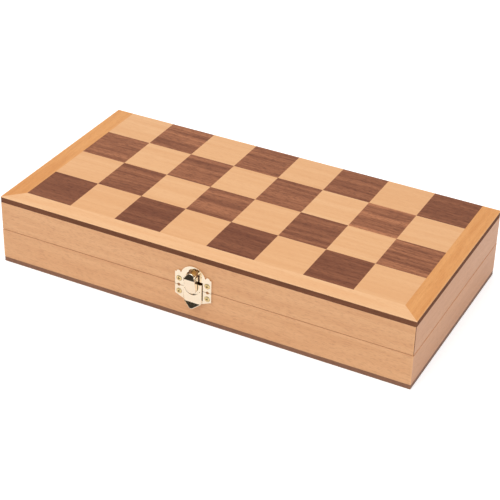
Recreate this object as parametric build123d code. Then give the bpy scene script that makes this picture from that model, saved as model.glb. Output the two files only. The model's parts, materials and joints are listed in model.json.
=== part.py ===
from build123d import *
import math
import os

# A folding wooden chess box with its chessmen inside, modelled closed.
# X runs along the length, Y from the latch side to the hinge side, Z up, all in millimetres.
# The origin is the centre of the flat bottom face.
# Two equal halves, each a veneered half board on four mitred walls, fold about two brass hinges.
# A snap latch holds them shut, and a tray in the lower half holds the chessmen lying on their sides.

# Playing board
square = 40.0
squares_along = 8
squares_across = 4
border = 15.0
veneer = 0.6

# Box halves
core = 4.4
wall = 8.0
wall_height = 24.4
seam_gap = 0.2
lining = 1.0
fitting_gap = 0.3

# Hinges
hinge_offset = 112.0
hinge_length = 30.0
leaf_reach = 7.0
leaf_thickness = 1.0
knuckle_radius = 2.0
hinge_pin_radius = 0.8
running_gap = 0.05
knuckle_gap = 0.2
knuckle_room = 0.3
hinge_screw_spacing = 18.0
hinge_screw_head = 1.7
hinge_screw_shank = 0.9
hinge_screw_length = 11.0

# Latch plates, whose heights are measured from the seam
latch_offset = -2.0
sheet = 1.0
plate_half_width = 15.5
ear_top = 11.2
ear_bottom = -8.0
arch_radius = 9.6
arch_centre = 9.5
lobe_radius = 2.0
lobe_offset = 11.6
window_half_width = 4.0
window_top = 17.2
latch_screw_offset = 12.0
latch_screw_height = 5.6
latch_screw_head = 1.9
latch_screw_shank = 0.8
latch_screw_length = 7.0
latch_screw_dome = 0.9

# Raised middle of the catch plate, with the flared lip below it
nose_half_width = 7.8
nose_top = 5.8
nose_proud = 2.4
nose_gap = 0.4
keeper_notch_gap = 1.6
lip_crease = -11.0
lip_crease_half_width = 6.6
lip_tip = -14.6
lip_tip_proud = 4.6
lip_tip_radius = 2.6

# Tongue, its pin and the cheeks that carry the pin
tongue_sheet = 0.8
tongue_half_width = 4.55
tongue_waist = 3.9
tongue_waist_start = 6.6
tongue_shoulder = 1.6
tongue_tip = -2.8
tongue_tip_proud = 4.4
tongue_crease = 10.8
tongue_crease_proud = 7.5
tongue_top = 15.3
tongue_top_proud = 5.8
tongue_rim_half_width = 2.75
tongue_clearance = 0.55
pin_height = 10.5
pin_proud = 3.9
pin_radius = 0.75
pin_overhang = 0.2
cheek_gap = 0.12
cheek_nose = 1.9
cheek_root = 3.1
swing_room = 0.6

# Leaf spring behind the tongue
spring_half_width = 2.0
spring_thickness = 0.3
spring_tuck = 1.4

# Chessmen
king_height = 65.0
king_radius = 13.5
queen_height = 59.0
queen_radius = 13.0
bishop_height = 51.0
bishop_radius = 12.0
knight_height = 46.0
knight_radius = 12.0
rook_height = 40.0
rook_radius = 12.0
pawn_height = 35.0
pawn_radius = 11.0
foot_rim = 3.2
foot_shoulder = 2.2
cross_width = 7.0
cross_thickness = 2.6
coronet_points = 8
battlements = 4
turned_sides = 12
screw_sides = 8

# Shares of a chessman's foot radius: its shoulder, its widest above the foot, and its thinnest
shoulder = 0.78
king_collar = 0.66
king_waist = 0.36
queen_collar = 0.64
queen_waist = 0.34
bishop_collar = 0.62
bishop_waist = 0.33
knight_nose = 0.82
knight_thickness = 0.80
knight_plinth = 0.62
rook_tower = 0.76
rook_waist = 0.50
pawn_collar = 0.60
pawn_waist = 0.33

# Shares of a chessman's height, up to its thinnest
king_waist_height = 0.56
queen_waist_height = 0.58
bishop_waist_height = 0.54
knight_plinth_height = 0.24
rook_waist_height = 0.66
pawn_waist_height = 0.54

# Tray that the chessmen lie in
tray_floor = 1.4
pocket_gap = 0.3
tray_rim = 3.0

# Sizes that follow from those above
length = squares_along * square + 2 * border
depth = squares_across * square + border
panel = veneer + core
half_height = panel + wall_height
rim_low = half_height
seam = half_height + seam_gap / 2
closed_height = 2 * half_height + seam_gap
inner_length = length - 2 * wall
inner_depth = depth - 2 * wall
hinge_axis_y = depth / 2 + seam_gap / 2
tray_length = inner_length - 2 * fitting_gap
tray_depth = inner_depth - 2 * fitting_gap
widest_foot = max(king_radius, queen_radius, bishop_radius, knight_radius, rook_radius, pawn_radius)
tray_top = panel + tray_floor + widest_foot + pocket_gap
cheek_sheet = tongue_sheet
tongue_side_out = window_half_width - cheek_gap
nose_inner = nose_half_width - sheet
spring_seat = running_gap
spring_tip_proud = tongue_top_proud - tongue_sheet - fitting_gap
spring_tip_height = (tongue_crease + tongue_top) / 2


def block(x_range, y_range, z_range):
    """A box between two corners, each given as a pair of limits."""
    (x0, x1), (y0, y1), (z0, z1) = x_range, y_range, z_range
    middle = ((x0 + x1) / 2, (y0 + y1) / 2, (z0 + z1) / 2)
    return Pos(*middle) * Box(x1 - x0, y1 - y0, z1 - z0)


def prism(points, z_range):
    """A plan outline raised between two heights."""
    outline = make_face(Polyline(*points, close=True))
    return extrude(Pos(0, 0, z_range[0]) * outline, amount=z_range[1] - z_range[0])


def folded(shape):
    """The same shape in the other half: mirrored through the seam's height."""
    return mirror(shape, about=Plane.XY.offset(seam))


# The veneered half board


def board_squares(first_is_dark, wanted_dark):
    """The veneer squares of one colour, laid from the front left corner."""
    left = -length / 2 + border
    front = -depth / 2 + border
    squares = []
    for column in range(squares_along):
        for row in range(squares_across):
            is_dark = ((column + row) % 2 == 0) == first_is_dark
            if is_dark == wanted_dark:
                x0 = left + column * square
                y0 = front + row * square
                squares.append(block((x0, x0 + square), (y0, y0 + square), (0, veneer)))
    return Compound(squares)


def border_strips():
    """The three mitred veneer strips: left, right and front. The hinge side has none."""
    x_out, x_in = length / 2, length / 2 - border
    y_out, y_in, y_back = -depth / 2, -depth / 2 + border, depth / 2
    front = prism([(-x_out, y_out), (x_out, y_out), (x_in, y_in), (-x_in, y_in)], (0, veneer))
    right = prism([(x_out, y_out), (x_out, y_back), (x_in, y_back), (x_in, y_in)], (0, veneer))
    return Compound([front, right, mirror(right, about=Plane.YZ)])


def core_panel():
    """The dark board that carries the veneer, flush with the walls."""
    return block((-length / 2, length / 2), (-depth / 2, depth / 2), (veneer, panel))


# Walls, with the hinge mortises in the back one


def side_walls():
    """The four walls of the lower half, mitred at the corners."""
    x_out, x_in = length / 2, inner_length / 2
    y_out, y_in = depth / 2, inner_depth / 2
    heights = (panel, rim_low)
    front = prism([(-x_out, -y_out), (x_out, -y_out), (x_in, -y_in), (-x_in, -y_in)], heights)
    right = prism([(x_out, -y_out), (x_out, y_out), (x_in, y_in), (x_in, -y_in)], heights)
    back = mirror(front, about=Plane.XZ)
    for x in (-hinge_offset, hinge_offset):
        back -= hinge_mortise(x)
    return {"front": front, "back": back, "left": mirror(right, about=Plane.YZ), "right": right}


def hinge_mortise(x):
    """The step cut in a back wall's rim for one leaf, with the notch for its knuckles."""
    half = hinge_length / 2
    y_out = depth / 2 + knuckle_radius
    leaf_end = hinge_axis_y - leaf_reach
    step = block((x - half, x + half), (leaf_end, y_out), (rim_low - leaf_thickness, seam))
    reach = knuckle_radius + knuckle_room
    wide = half + knuckle_gap
    notch = block((x - wide, x + wide), (hinge_axis_y - reach, y_out), (seam - reach, seam))
    return step + notch


# Hinges


def hinge_leaf(x, slots, screw_holes):
    """One leaf with its knuckles. Slots names which of the three knuckle places it fills."""
    half = hinge_length / 2
    top = rim_low
    leaf_end = hinge_axis_y - leaf_reach
    clear = knuckle_radius + knuckle_room
    leaf = block((x - half, x + half), (leaf_end, hinge_axis_y - clear), (top - leaf_thickness, top))
    knuckle_length = (hinge_length - 2 * knuckle_gap) / 3
    for slot in slots:
        start = x - half + slot * (knuckle_length + knuckle_gap)
        span = (start, start + knuckle_length)
        leaf += block(span, (hinge_axis_y - clear, hinge_axis_y), (top - leaf_thickness, top))
        leaf += along_x(knuckle_radius, span)
        leaf -= along_x(hinge_pin_radius + running_gap, span)
    for hole in screw_holes:
        leaf -= hole
    return leaf


def along_x(radius, span):
    """A round bar on the hinge axis between two places along X."""
    bar = Rot(Y=90) * Cylinder(radius, span[1] - span[0])
    return Pos((span[0] + span[1]) / 2, hinge_axis_y, seam) * bar


def countersunk_screw(gap=0.0):
    """A countersunk wood screw, head up at height 0. A gap makes the hole that it sits in."""
    head, shank = hinge_screw_head + gap, hinge_screw_shank + gap
    head_height = hinge_screw_head - hinge_screw_shank
    outline = [
        (0, 0),
        (head, 0),
        (shank, -head_height),
        (shank, -leaf_thickness),
        (0, -hinge_screw_length),
    ]
    return turned(outline, screw_sides)


def hinge_screw_places():
    """Where the screws of the lower leaves stand, at the rim."""
    y = hinge_axis_y - (leaf_reach + knuckle_radius + knuckle_room) / 2
    steps = (-hinge_screw_spacing / 2, hinge_screw_spacing / 2)
    return [(side * hinge_offset + step, y, rim_low) for side in (-1, 1) for step in steps]


# Latch, drawn in its own frame: X along the wall, Y up from the seam, Z out from the wall


def on_front(shape):
    """A latch piece placed on the front wall."""
    wall_face = Plane(origin=(latch_offset, -depth / 2, seam), x_dir=(1, 0, 0), z_dir=(0, -1, 0))
    return wall_face.location * shape


def from_side(points, half_width):
    """A side view, given as (proud, height) points, widened both ways."""
    side = Plane(origin=(0, 0, 0), x_dir=(0, 0, 1), z_dir=(-1, 0, 0))
    face = side.location * make_face(Polyline(*points, close=True))
    return extrude(face, amount=half_width, both=True)


def rectangle(x_range, y_range):
    """A flat rectangle between limits."""
    width, height = x_range[1] - x_range[0], y_range[1] - y_range[0]
    return Pos((x_range[0] + x_range[1]) / 2, (y_range[0] + y_range[1]) / 2) * Rectangle(width, height)


def pin_bar(radius, half_length):
    """A round bar on the axis of the tongue's pin."""
    return Pos(0, pin_height, pin_proud) * (Rot(Y=90) * Cylinder(radius, 2 * half_length))


def tapered(half_width, y, tip_radius, tip):
    """An outline that narrows from a straight edge at y to a round tip."""
    centre = tip + math.copysign(tip_radius, y - tip)
    edge = Line((-half_width, y), (half_width, y))
    return make_hull([edge] + (Pos(0, centre) * Circle(tip_radius)).edges())


def keeper_plate():
    """The upper plate: two ears, an arch round a window, and two cheeks bent out beside it."""
    notch_half = nose_half_width + nose_gap
    notch_top = nose_top + keeper_notch_gap
    ears = rectangle((-plate_half_width, plate_half_width), (seam_gap, ear_top))
    outline = ears + Pos(0, arch_centre) * Circle(arch_radius)
    for side in (-1, 1):
        outline += Pos(side * lobe_offset, ear_top) * Circle(lobe_radius)
    window = rectangle((-window_half_width, window_half_width), (0, window_top - window_half_width))
    outline -= window + Pos(0, window_top - window_half_width) * Circle(window_half_width)
    outline -= rectangle((-notch_half, notch_half), (-ear_top, notch_top))
    plate = extrude(outline, amount=sheet)
    for hole in latch_screw_places(latch_screw_height):
        plate -= hole * round_head_screw(running_gap)
    tuck_top = window_top + spring_tuck + fitting_gap
    tuck_half = spring_half_width + fitting_gap
    tuck_deep = spring_thickness + spring_seat + running_gap
    tuck = rectangle((-tuck_half, tuck_half), (window_top - window_half_width, tuck_top))
    plate -= extrude(tuck, amount=tuck_deep)
    for side in (-1, 1):
        plate += cheek(side)
    return plate


def cheek(side):
    """An ear bent out of the plate beside the window, bored for the tongue's pin."""
    inner = side * window_half_width
    root = [(0, pin_height - cheek_root), (0, pin_height + cheek_root)]
    nose = [(pin_proud, pin_height + cheek_nose), (pin_proud, pin_height - cheek_nose)]
    body = from_side(root + nose, cheek_sheet / 2) + pin_bar(cheek_nose, cheek_sheet / 2)
    body -= pin_bar(pin_radius + running_gap, cheek_sheet)
    return Pos(inner + side * cheek_sheet / 2, 0, 0) * body


def catch_plate():
    """The lower plate: two ears, a raised middle that passes the seam, and a flared lip."""
    ears = rectangle((-plate_half_width, plate_half_width), (ear_bottom, -seam_gap))
    slope = make_face(
        Polyline(
            (-plate_half_width, ear_bottom),
            (plate_half_width, ear_bottom),
            (lip_crease_half_width, lip_crease),
            (-lip_crease_half_width, lip_crease),
            close=True,
        )
    )
    gap_in_ears = rectangle((-nose_inner, nose_inner), (ear_bottom + sheet, 0))
    plate = extrude(ears + slope - gap_in_ears, amount=sheet)
    for hole in latch_screw_places(-latch_screw_height):
        plate -= hole * round_head_screw(running_gap)
    shell = [
        (nose_proud - sheet, nose_top),
        (nose_proud, nose_top),
        (nose_proud, lip_crease),
        (lip_tip_proud, lip_tip),
        (lip_tip_proud - sheet, lip_tip),
        (nose_proud - sheet, lip_crease),
    ]
    front = rectangle((-nose_half_width, nose_half_width), (ear_bottom, nose_top))
    front += make_face(
        Polyline(
            (-nose_half_width, ear_bottom),
            (nose_half_width, ear_bottom),
            (lip_crease_half_width, lip_crease),
            (-lip_crease_half_width, lip_crease),
            close=True,
        )
    )
    front += tapered(lip_crease_half_width, lip_crease, lip_tip_radius, lip_tip)
    plate += extrude(front, amount=lip_tip_proud) & from_side(shell, nose_half_width)
    for side in (-1, 1):
        across = sorted((side * nose_inner, side * nose_half_width))
        plate += extrude(rectangle(across, (ear_bottom, -seam_gap)), amount=nose_proud)
        above = Pos(0, 0, nose_gap) * rectangle(across, (-seam_gap, nose_top))
        plate += extrude(above, amount=nose_proud - nose_gap)
    return plate


def tongue_front(inset, top):
    """The tongue seen from the front, drawn in by the inset, with its round top at a height."""
    wide, waist = tongue_half_width - inset, tongue_waist - inset
    round_centre = tongue_tip + tongue_half_width
    outline = Pos(0, round_centre) * Circle(wide)
    outline += rectangle((-wide, wide), (round_centre, tongue_waist_start))
    outline += make_face(
        Polyline(
            (-wide, tongue_waist_start),
            (wide, tongue_waist_start),
            (waist, tongue_waist_start + tongue_shoulder),
            (waist, tongue_crease),
            (-waist, tongue_crease),
            (-waist, tongue_waist_start + tongue_shoulder),
            close=True,
        )
    )
    return outline + tapered(waist, tongue_crease, tongue_rim_half_width - inset, top)


def tongue_side(inset):
    """The tongue seen from the side, its skin drawn in by the inset, as far back as its room."""
    back_low = nose_proud + tongue_clearance
    low = tongue_tip - (tongue_sheet if inset else 0)
    high = tongue_top + (tongue_sheet if inset else 0)
    skin = [
        (tongue_tip_proud - inset, low),
        (tongue_crease_proud - inset, tongue_crease),
        (tongue_top_proud - inset, high),
    ]
    if inset:
        return [(0, low)] + skin + [(0, high)]
    hub_top = (pin_proud, pin_height + pin_proud - swing_room)
    rim_back = (tongue_top_proud - tongue_sheet, high)
    return [(back_low, low)] + skin + [rim_back, hub_top, (back_low, pin_height)]


def tongue():
    """The domed tongue: a pressed skin whose sides run back to the pin."""
    outer = extrude(tongue_front(0, tongue_top), amount=tongue_crease_proud)
    outer &= from_side(tongue_side(0), tongue_half_width)
    hub = pin_bar(pin_proud - swing_room, tongue_side_out)
    hub &= block((-tongue_side_out, tongue_side_out), (0, tongue_top), (0, pin_proud))
    hollow = extrude(tongue_front(tongue_sheet, tongue_top + tongue_sheet), amount=tongue_crease_proud)
    hollow &= from_side(tongue_side(tongue_sheet), tongue_half_width)
    inside = tongue_side_out - tongue_sheet
    middle = block((-inside, inside), (0, tongue_top), (0, pin_proud))
    bore = pin_bar(pin_radius + running_gap, tongue_half_width)
    return outer + hub - hollow - (middle & hub) - bore


def latch_pin():
    """The pin through both cheeks and both sides of the tongue."""
    return pin_bar(pin_radius, window_half_width + cheek_sheet + pin_overhang)


def latch_spring():
    """A hairpin leaf, tucked under the arch, whose free end bears on the tongue from behind."""
    flat, bend, tip = spring_seat, pin_height + pin_radius + spring_thickness, spring_tip_proud
    top = window_top + spring_tuck
    return from_side(
        [
            (flat, top),
            (flat, bend),
            (flat + spring_thickness, bend),
            (tip, spring_tip_height - spring_thickness),
            (tip, spring_tip_height),
            (flat + spring_thickness, bend + 2 * spring_thickness),
            (flat + spring_thickness, top),
        ],
        spring_half_width,
    )


def round_head_screw(gap=0.0):
    """A dome-headed wood screw on a latch plate, point inwards. A gap makes the hole for its shank."""
    shank = latch_screw_shank + gap
    if gap:
        return turned([(0, 2 * sheet), (shank, 2 * sheet), (shank, -sheet), (0, -sheet)], screw_sides)
    outline = [
        (0, latch_screw_dome),
        (latch_screw_head / 2, latch_screw_dome),
        (latch_screw_head, 0),
        (shank, 0),
        (shank, -sheet),
        (0, -latch_screw_length),
    ]
    return Pos(0, 0, sheet) * turned(outline, screw_sides)


def latch_screw_places(height):
    """Where the two screws of a latch plate stand."""
    return [Pos(side * latch_screw_offset, height, 0) for side in (-1, 1)]


def latch_screws(height):
    """The two screws of a latch plate, on the front wall."""
    screw = round_head_screw()
    return [on_front(place * screw) for place in latch_screw_places(height)]


# Chessmen, turned upright on the origin


def turned(outline, sides=turned_sides):
    """A solid turned about Z in flat facets, from (radius, height) points that start and end on the axis."""
    rings = [ring(radius, height, sides) for radius, height in outline[1:-1]]
    faces = end_faces(rings[0], outline[0][1]) + end_faces(rings[-1], outline[-1][1])
    for lower, upper in zip(rings, rings[1:]):
        for side in range(sides):
            following = (side + 1) % sides
            corners = (lower[side], lower[following], upper[following], upper[side])
            faces.append(Face(Wire.make_polygon(corners)))
    return Solid(Shell(faces))


def ring(radius, height, sides):
    """The corners of one turned ring, with a flat facing each way along X and Y."""
    steps = [2 * math.pi * (side + 0.5) / sides for side in range(sides)]
    return [Vector(radius * math.cos(step), radius * math.sin(step), height) for step in steps]


def end_faces(corners, height):
    """What closes a turned solid on its axis: one flat face, or a point."""
    if math.isclose(corners[0].Z, height):
        return [Face(Wire.make_polygon(corners))]
    point = Vector(0, 0, height)
    pairs = zip(corners, corners[1:] + corners[:1])
    return [Face(Wire.make_polygon((one, other, point))) for one, other in pairs]


def foot(radius):
    """The rim and shoulder that every chessman stands on."""
    return [(0, 0), (radius, 0), (radius, foot_rim), (shoulder * radius, foot_rim + foot_shoulder)]


def ball(centre, radius, first_angle):
    """Points round a turned ball, from an angle below its equator up to its top."""
    bands = 3
    points = []
    for band in range(bands + 1):
        angle = math.radians(first_angle + (90 - first_angle) * band / bands)
        points.append((radius * math.cos(angle) if band < bands else 0, centre + radius * math.sin(angle)))
    return points


def pawn(height, radius):
    """A ball on a collared stem."""
    ball_radius = 0.57 * radius
    waist = (pawn_waist * radius, pawn_waist_height * height)
    collar = (pawn_collar * radius, 0.59 * height)
    return turned(foot(radius) + [waist, collar] + ball(height - ball_radius, ball_radius, -57))


def rook(height, radius):
    """A tower with a sunk top and battlements."""
    outline = foot(radius) + [
        (rook_waist * radius, rook_waist_height * height),
        (rook_tower * radius, 0.76 * height),
        (rook_tower * radius, height),
        (0.50 * radius, height),
        (0.50 * radius, 0.88 * height),
        (0, 0.88 * height),
    ]
    tower = turned(outline)
    cut = Pos(0, 0, height) * Box(2 * radius, 0.26 * radius, 0.14 * height)
    for turn in range(battlements // 2):
        tower -= Rot(Z=turn * 360 / battlements) * cut
    return tower


def knight(height, radius):
    """A horse's head, cut from the side view, on a turned foot."""
    plinth = knight_plinth_height * height
    base = turned(foot(radius) + [(knight_plinth * radius, plinth), (0, plinth)])
    back = ThreePointArc(
        (-0.56 * radius, 0.22 * height),
        (-0.70 * radius, 0.62 * height),
        (-0.06 * radius, height),
    )
    face = Polyline(
        (-0.06 * radius, height),
        (0.16 * radius, 0.89 * height),
        (0.76 * radius, 0.68 * height),
        (0.80 * radius, 0.59 * height),
        (0.58 * radius, 0.53 * height),
        (0.20 * radius, 0.58 * height),
    )
    chest = ThreePointArc(
        (0.20 * radius, 0.58 * height),
        (0.46 * radius, 0.42 * height),
        (0.56 * radius, 0.22 * height),
    )
    under = Line((0.56 * radius, 0.22 * height), (-0.56 * radius, 0.22 * height))
    head = Plane.XZ * make_face(back + face + chest + under)
    return base + extrude(head, amount=knight_thickness * radius / 2, both=True)


def bishop(height, radius):
    """A slit mitre with a small ball on top."""
    outline = foot(radius) + [
        (bishop_waist * radius, bishop_waist_height * height),
        (bishop_collar * radius, 0.58 * height),
        (0.32 * radius, 0.61 * height),
        (0.52 * radius, 0.74 * height),
        (0.14 * radius, 0.92 * height),
        (0.20 * radius, 0.96 * height),
        (0, height),
    ]
    blade = Rot(Y=35) * Box(0.12 * radius, 2 * radius, 0.22 * height)
    return turned(outline) - Pos(0.40 * radius, 0, 0.83 * height) * blade


def queen(height, radius):
    """A notched coronet with a ball in it."""
    outline = foot(radius) + [
        (queen_waist * radius, queen_waist_height * height),
        (queen_collar * radius, 0.61 * height),
        (0.34 * radius, 0.64 * height),
        (0.62 * radius, 0.88 * height),
        (0.46 * radius, 0.90 * height),
        (0.16 * radius, 0.94 * height),
        (0.22 * radius, 0.97 * height),
        (0, height),
    ]
    body = turned(outline)
    groove = Rot(X=45) * Box(0.40 * radius, 0.14 * radius, 0.14 * radius)
    notch = Pos(0.62 * radius, 0, 0.89 * height) * groove
    for turn in range(coronet_points):
        body -= Rot(Z=turn * 360 / coronet_points) * notch
    return body


def king(height, radius):
    """A flared crown with a plain cross."""
    crown_top = 0.88 * height
    outline = foot(radius) + [
        (king_waist * radius, king_waist_height * height),
        (king_collar * radius, 0.59 * height),
        (0.36 * radius, 0.62 * height),
        (0.62 * radius, 0.83 * height),
        (0.20 * radius, crown_top),
        (0, crown_top),
    ]
    arm = (height - crown_top) / 3
    thick = (-cross_thickness / 2, cross_thickness / 2)
    upright = block((-arm / 2, arm / 2), thick, (crown_top - arm, height))
    bar = block((-cross_width / 2, cross_width / 2), thick, (crown_top + arm, crown_top + 2 * arm))
    return turned(outline) + upright + bar


# Each kind: its maker, height and foot radius, then its half width and half thickness above the foot
kinds = {
    "king": (king, king_height, king_radius, king_collar, king_collar),
    "queen": (queen, queen_height, queen_radius, queen_collar, queen_collar),
    "bishop": (bishop, bishop_height, bishop_radius, bishop_collar, bishop_collar),
    "knight": (knight, knight_height, knight_radius, knight_nose, knight_plinth),
    "rook": (rook, rook_height, rook_radius, rook_tower, rook_tower),
    "pawn": (pawn, pawn_height, pawn_radius, pawn_collar, pawn_collar),
}
# Each kind's thinnest place: its half width there, and how high it is
waists = {
    "king": (king_waist, king_waist_height),
    "queen": (queen_waist, queen_waist_height),
    "bishop": (bishop_waist, bishop_waist_height),
    "knight": (knight_plinth, knight_plinth_height),
    "rook": (rook_waist, rook_waist_height),
    "pawn": (pawn_waist, pawn_waist_height),
}
# The order in which one side's chessmen lie, from left to right
between = ["rook", "knight", "bishop", "queen", "king", "bishop", "knight", "rook"]
order = ["pawn", "pawn"] + between + ["pawn", "pawn"]


def seats():
    """Where each chessman of one side lies: (kind, x, place of its foot along Y, way its head points)."""
    widths = [2 * kinds[kind][2] for kind in order]
    gap = (tray_length - sum(widths)) / (len(order) + 1)
    places = []
    x = -tray_length / 2 + gap
    for kind, width in zip(order, widths):
        middle = x + width / 2
        outer = -tray_depth / 2 + tray_rim
        places.append((kind, middle, outer, 1))
        if kind == "pawn":
            places.append((kind, middle, -tray_rim, -1))
        x += width + gap
    return places


def lay(shape, x, y, way):
    """A chessman laid on its side with its foot at y and its head pointing along way times Y."""
    flat = Rot(X=-90) * shape
    if way < 0:
        flat = Rot(Z=180) * flat
    return Pos(x, y, tray_top) * flat


def pocket(kind, x, y, way):
    """The recess for one chessman: deep under its foot, shallower under its body."""
    _, height, radius, half_width, half_thickness = kinds[kind]
    shoulder_end = foot_end(kind)
    deep = (-pocket_gap, shoulder_end + pocket_gap)
    shallow = (0, height + pocket_gap)
    recess = recess_box(radius, radius, deep)
    recess += recess_box(half_width * radius, half_thickness * radius, shallow)
    return Pos(x, y, tray_top) * (recess if way > 0 else Rot(Z=180) * recess)


def recess_box(half_width, half_thickness, along):
    """A box open above the tray, a pocket gap wider and deeper than the half sizes given."""
    wide, down = half_width + pocket_gap, half_thickness + pocket_gap
    return block((-wide, wide), along, (-down, tray_floor))


def foot_end(kind):
    """How far from its foot a chessman's stem stays thicker than the shallow recess is deep."""
    _, height, radius, _, half_thickness = kinds[kind]
    start = foot_rim + foot_shoulder
    waist, waist_height = waists[kind]
    left = (shoulder - half_thickness) / (shoulder - waist)
    return start + max(left, 0) * (waist_height * height - start)


def tray():
    """The tray, with one recess for each chessman of both sides."""
    body = block((-tray_length / 2, tray_length / 2), (-tray_depth / 2, tray_depth / 2), (panel, tray_top))
    recesses = [pocket(*seat) for seat in seats()]
    recesses += [Rot(Z=180) * recess for recess in recesses]
    for recess in recesses:
        body -= recess
    return body


def chessmen():
    """Every chessman of both sides in its recess, by node name."""
    pieces = {}
    made = {kind: maker(height, radius) for kind, (maker, height, radius, _, _) in kinds.items()}
    counts = {}
    for kind, x, y, way in seats():
        counts[kind] = counts.get(kind, 0) + 1
        number = "" if kind in ("king", "queen") else f"_{counts[kind]}"
        light = lay(made[kind], x, y, way)
        pieces[f"light_{kind}{number}"] = light
        pieces[f"dark_{kind}{number}"] = Rot(Z=180) * light
    return pieces


# The whole box, node by node


def lower_half():
    """Everything fixed to the lower half."""
    nodes = {
        "base_panel": core_panel(),
        "base_dark_squares": board_squares(False, True),
        "base_light_squares": board_squares(False, False),
        "base_border_strips": border_strips(),
        "piece_tray": tray(),
        "latch_catch_plate": on_front(catch_plate()),
    }
    for side, shape in side_walls().items():
        nodes[f"base_{side}_wall"] = shape
    screw = countersunk_screw()
    holes = [Pos(*place) * countersunk_screw(running_gap) for place in hinge_screw_places()]
    leaves = [hinge_leaf(side * hinge_offset, (0, 2), holes) for side in (-1, 1)]
    nodes["base_hinge_leaves"] = Compound(leaves)
    half = hinge_length / 2
    pins = [along_x(hinge_pin_radius, (x - half, x + half)) for x in (-hinge_offset, hinge_offset)]
    nodes["hinge_pins"] = Compound(pins)
    fixings = [Pos(*place) * screw for place in hinge_screw_places()]
    nodes["base_screws"] = Compound(fixings + latch_screws(-latch_screw_height))
    return nodes


def upper_half():
    """Everything fixed to the lid, most of it the lower half's shape folded over the seam."""
    nodes = {
        "lid_panel": folded(core_panel()),
        "lid_dark_squares": folded(board_squares(True, True)),
        "lid_light_squares": folded(board_squares(True, False)),
        "lid_border_strips": folded(border_strips()),
        "lid_lining": block(
            (-tray_length / 2, tray_length / 2),
            (-tray_depth / 2, tray_depth / 2),
            (closed_height - panel - lining, closed_height - panel),
        ),
        "latch_keeper_plate": on_front(keeper_plate()),
        "latch_pin": on_front(latch_pin()),
        "latch_spring": on_front(latch_spring()),
    }
    for side, shape in side_walls().items():
        nodes[f"lid_{side}_wall"] = folded(shape)
    holes = [Pos(*place) * countersunk_screw(running_gap) for place in hinge_screw_places()]
    leaves = [folded(hinge_leaf(side * hinge_offset, (1,), holes)) for side in (-1, 1)]
    nodes["lid_hinge_leaves"] = Compound(leaves)
    fixings = [folded(Pos(*place) * countersunk_screw()) for place in hinge_screw_places()]
    nodes["lid_screws"] = Compound(fixings + latch_screws(latch_screw_height))
    return nodes


nodes = {**lower_half(), **upper_half(), "latch_tongue": on_front(tongue()), **chessmen()}
os.makedirs("parts", exist_ok=True)
for name, shape in nodes.items():
    export_step(shape, f"parts/{name}.step")
print(len(nodes), "nodes,", length, "x", depth, "x", closed_height)
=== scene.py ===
"""A folding chess box with a brass snap latch, dressed for a studio picture.

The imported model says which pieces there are, where they lie and how they move. This script softens
the joinery, models the latch, hinges, screws, chessmen, tray and lining, and gives every piece its
finish. Pieces are modelled in millimetres, upright in a frame of their own, and then put in place.
"""

from __future__ import annotations

import json
import logging
import math
from dataclasses import dataclass, field
from enum import Enum
from typing import Callable, Sequence

import bpy
from mathutils import Matrix, Vector

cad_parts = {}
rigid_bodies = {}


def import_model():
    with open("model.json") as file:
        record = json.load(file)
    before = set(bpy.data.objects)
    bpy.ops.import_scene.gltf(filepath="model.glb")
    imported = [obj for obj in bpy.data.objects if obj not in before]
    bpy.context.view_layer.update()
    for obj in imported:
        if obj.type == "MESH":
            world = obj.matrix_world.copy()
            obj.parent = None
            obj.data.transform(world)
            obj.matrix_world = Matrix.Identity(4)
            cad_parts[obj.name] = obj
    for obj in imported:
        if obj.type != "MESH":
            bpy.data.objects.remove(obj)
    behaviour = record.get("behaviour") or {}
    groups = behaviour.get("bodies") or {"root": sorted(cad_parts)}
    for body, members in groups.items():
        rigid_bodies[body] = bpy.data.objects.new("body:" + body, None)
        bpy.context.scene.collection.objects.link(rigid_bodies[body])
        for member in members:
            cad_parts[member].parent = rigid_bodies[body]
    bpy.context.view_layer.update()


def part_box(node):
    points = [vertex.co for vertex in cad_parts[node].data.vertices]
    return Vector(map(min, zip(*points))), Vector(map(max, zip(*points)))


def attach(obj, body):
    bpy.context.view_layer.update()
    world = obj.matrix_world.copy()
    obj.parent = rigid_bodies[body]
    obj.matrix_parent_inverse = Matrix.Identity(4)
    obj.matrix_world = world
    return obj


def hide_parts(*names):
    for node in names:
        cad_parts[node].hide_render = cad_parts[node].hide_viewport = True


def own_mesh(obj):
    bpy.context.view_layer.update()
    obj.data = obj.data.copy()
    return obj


LOG = logging.getLogger("chess_box")
MM = 0.001
NEAR = 0.05  # millimetres within which two places count as one
SIDES = (-1, 1)
WHITE = (1.0, 1.0, 1.0, 1.0)

Colour = tuple[float, ...]
Point = tuple[float, float, float]
Test = Callable[[Vector], bool]
FaceTest = Callable[[Vector, Vector], bool]
Node = bpy.types.Node
Socket = bpy.types.NodeSocket


def paint(code: str) -> Colour:
    """The linear colour that shaders take, from a screen colour's six hex digits."""
    shares = [int(code[start : start + 2], 16) / 255 for start in (0, 2, 4)]
    return (*[s / 12.92 if s <= 0.04045 else ((s + 0.055) / 1.055) ** 2.4 for s in shares], 1.0)


def turn(degrees: float, axis: str = "Z") -> Matrix:
    """A turn about one axis."""
    return Matrix.Rotation(math.radians(degrees), 4, axis)


def shift(*place: float) -> Matrix:
    """A move without a turn."""
    return Matrix.Translation(place)


def both(low: Sequence[float], high: Sequence[float]) -> tuple[Vector, Vector]:
    """Two corners as vectors in millimetres."""
    return Vector(low) / MM, Vector(high) / MM


def whole(_: Vector) -> bool:
    """Chooses every edge."""
    return True


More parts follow.
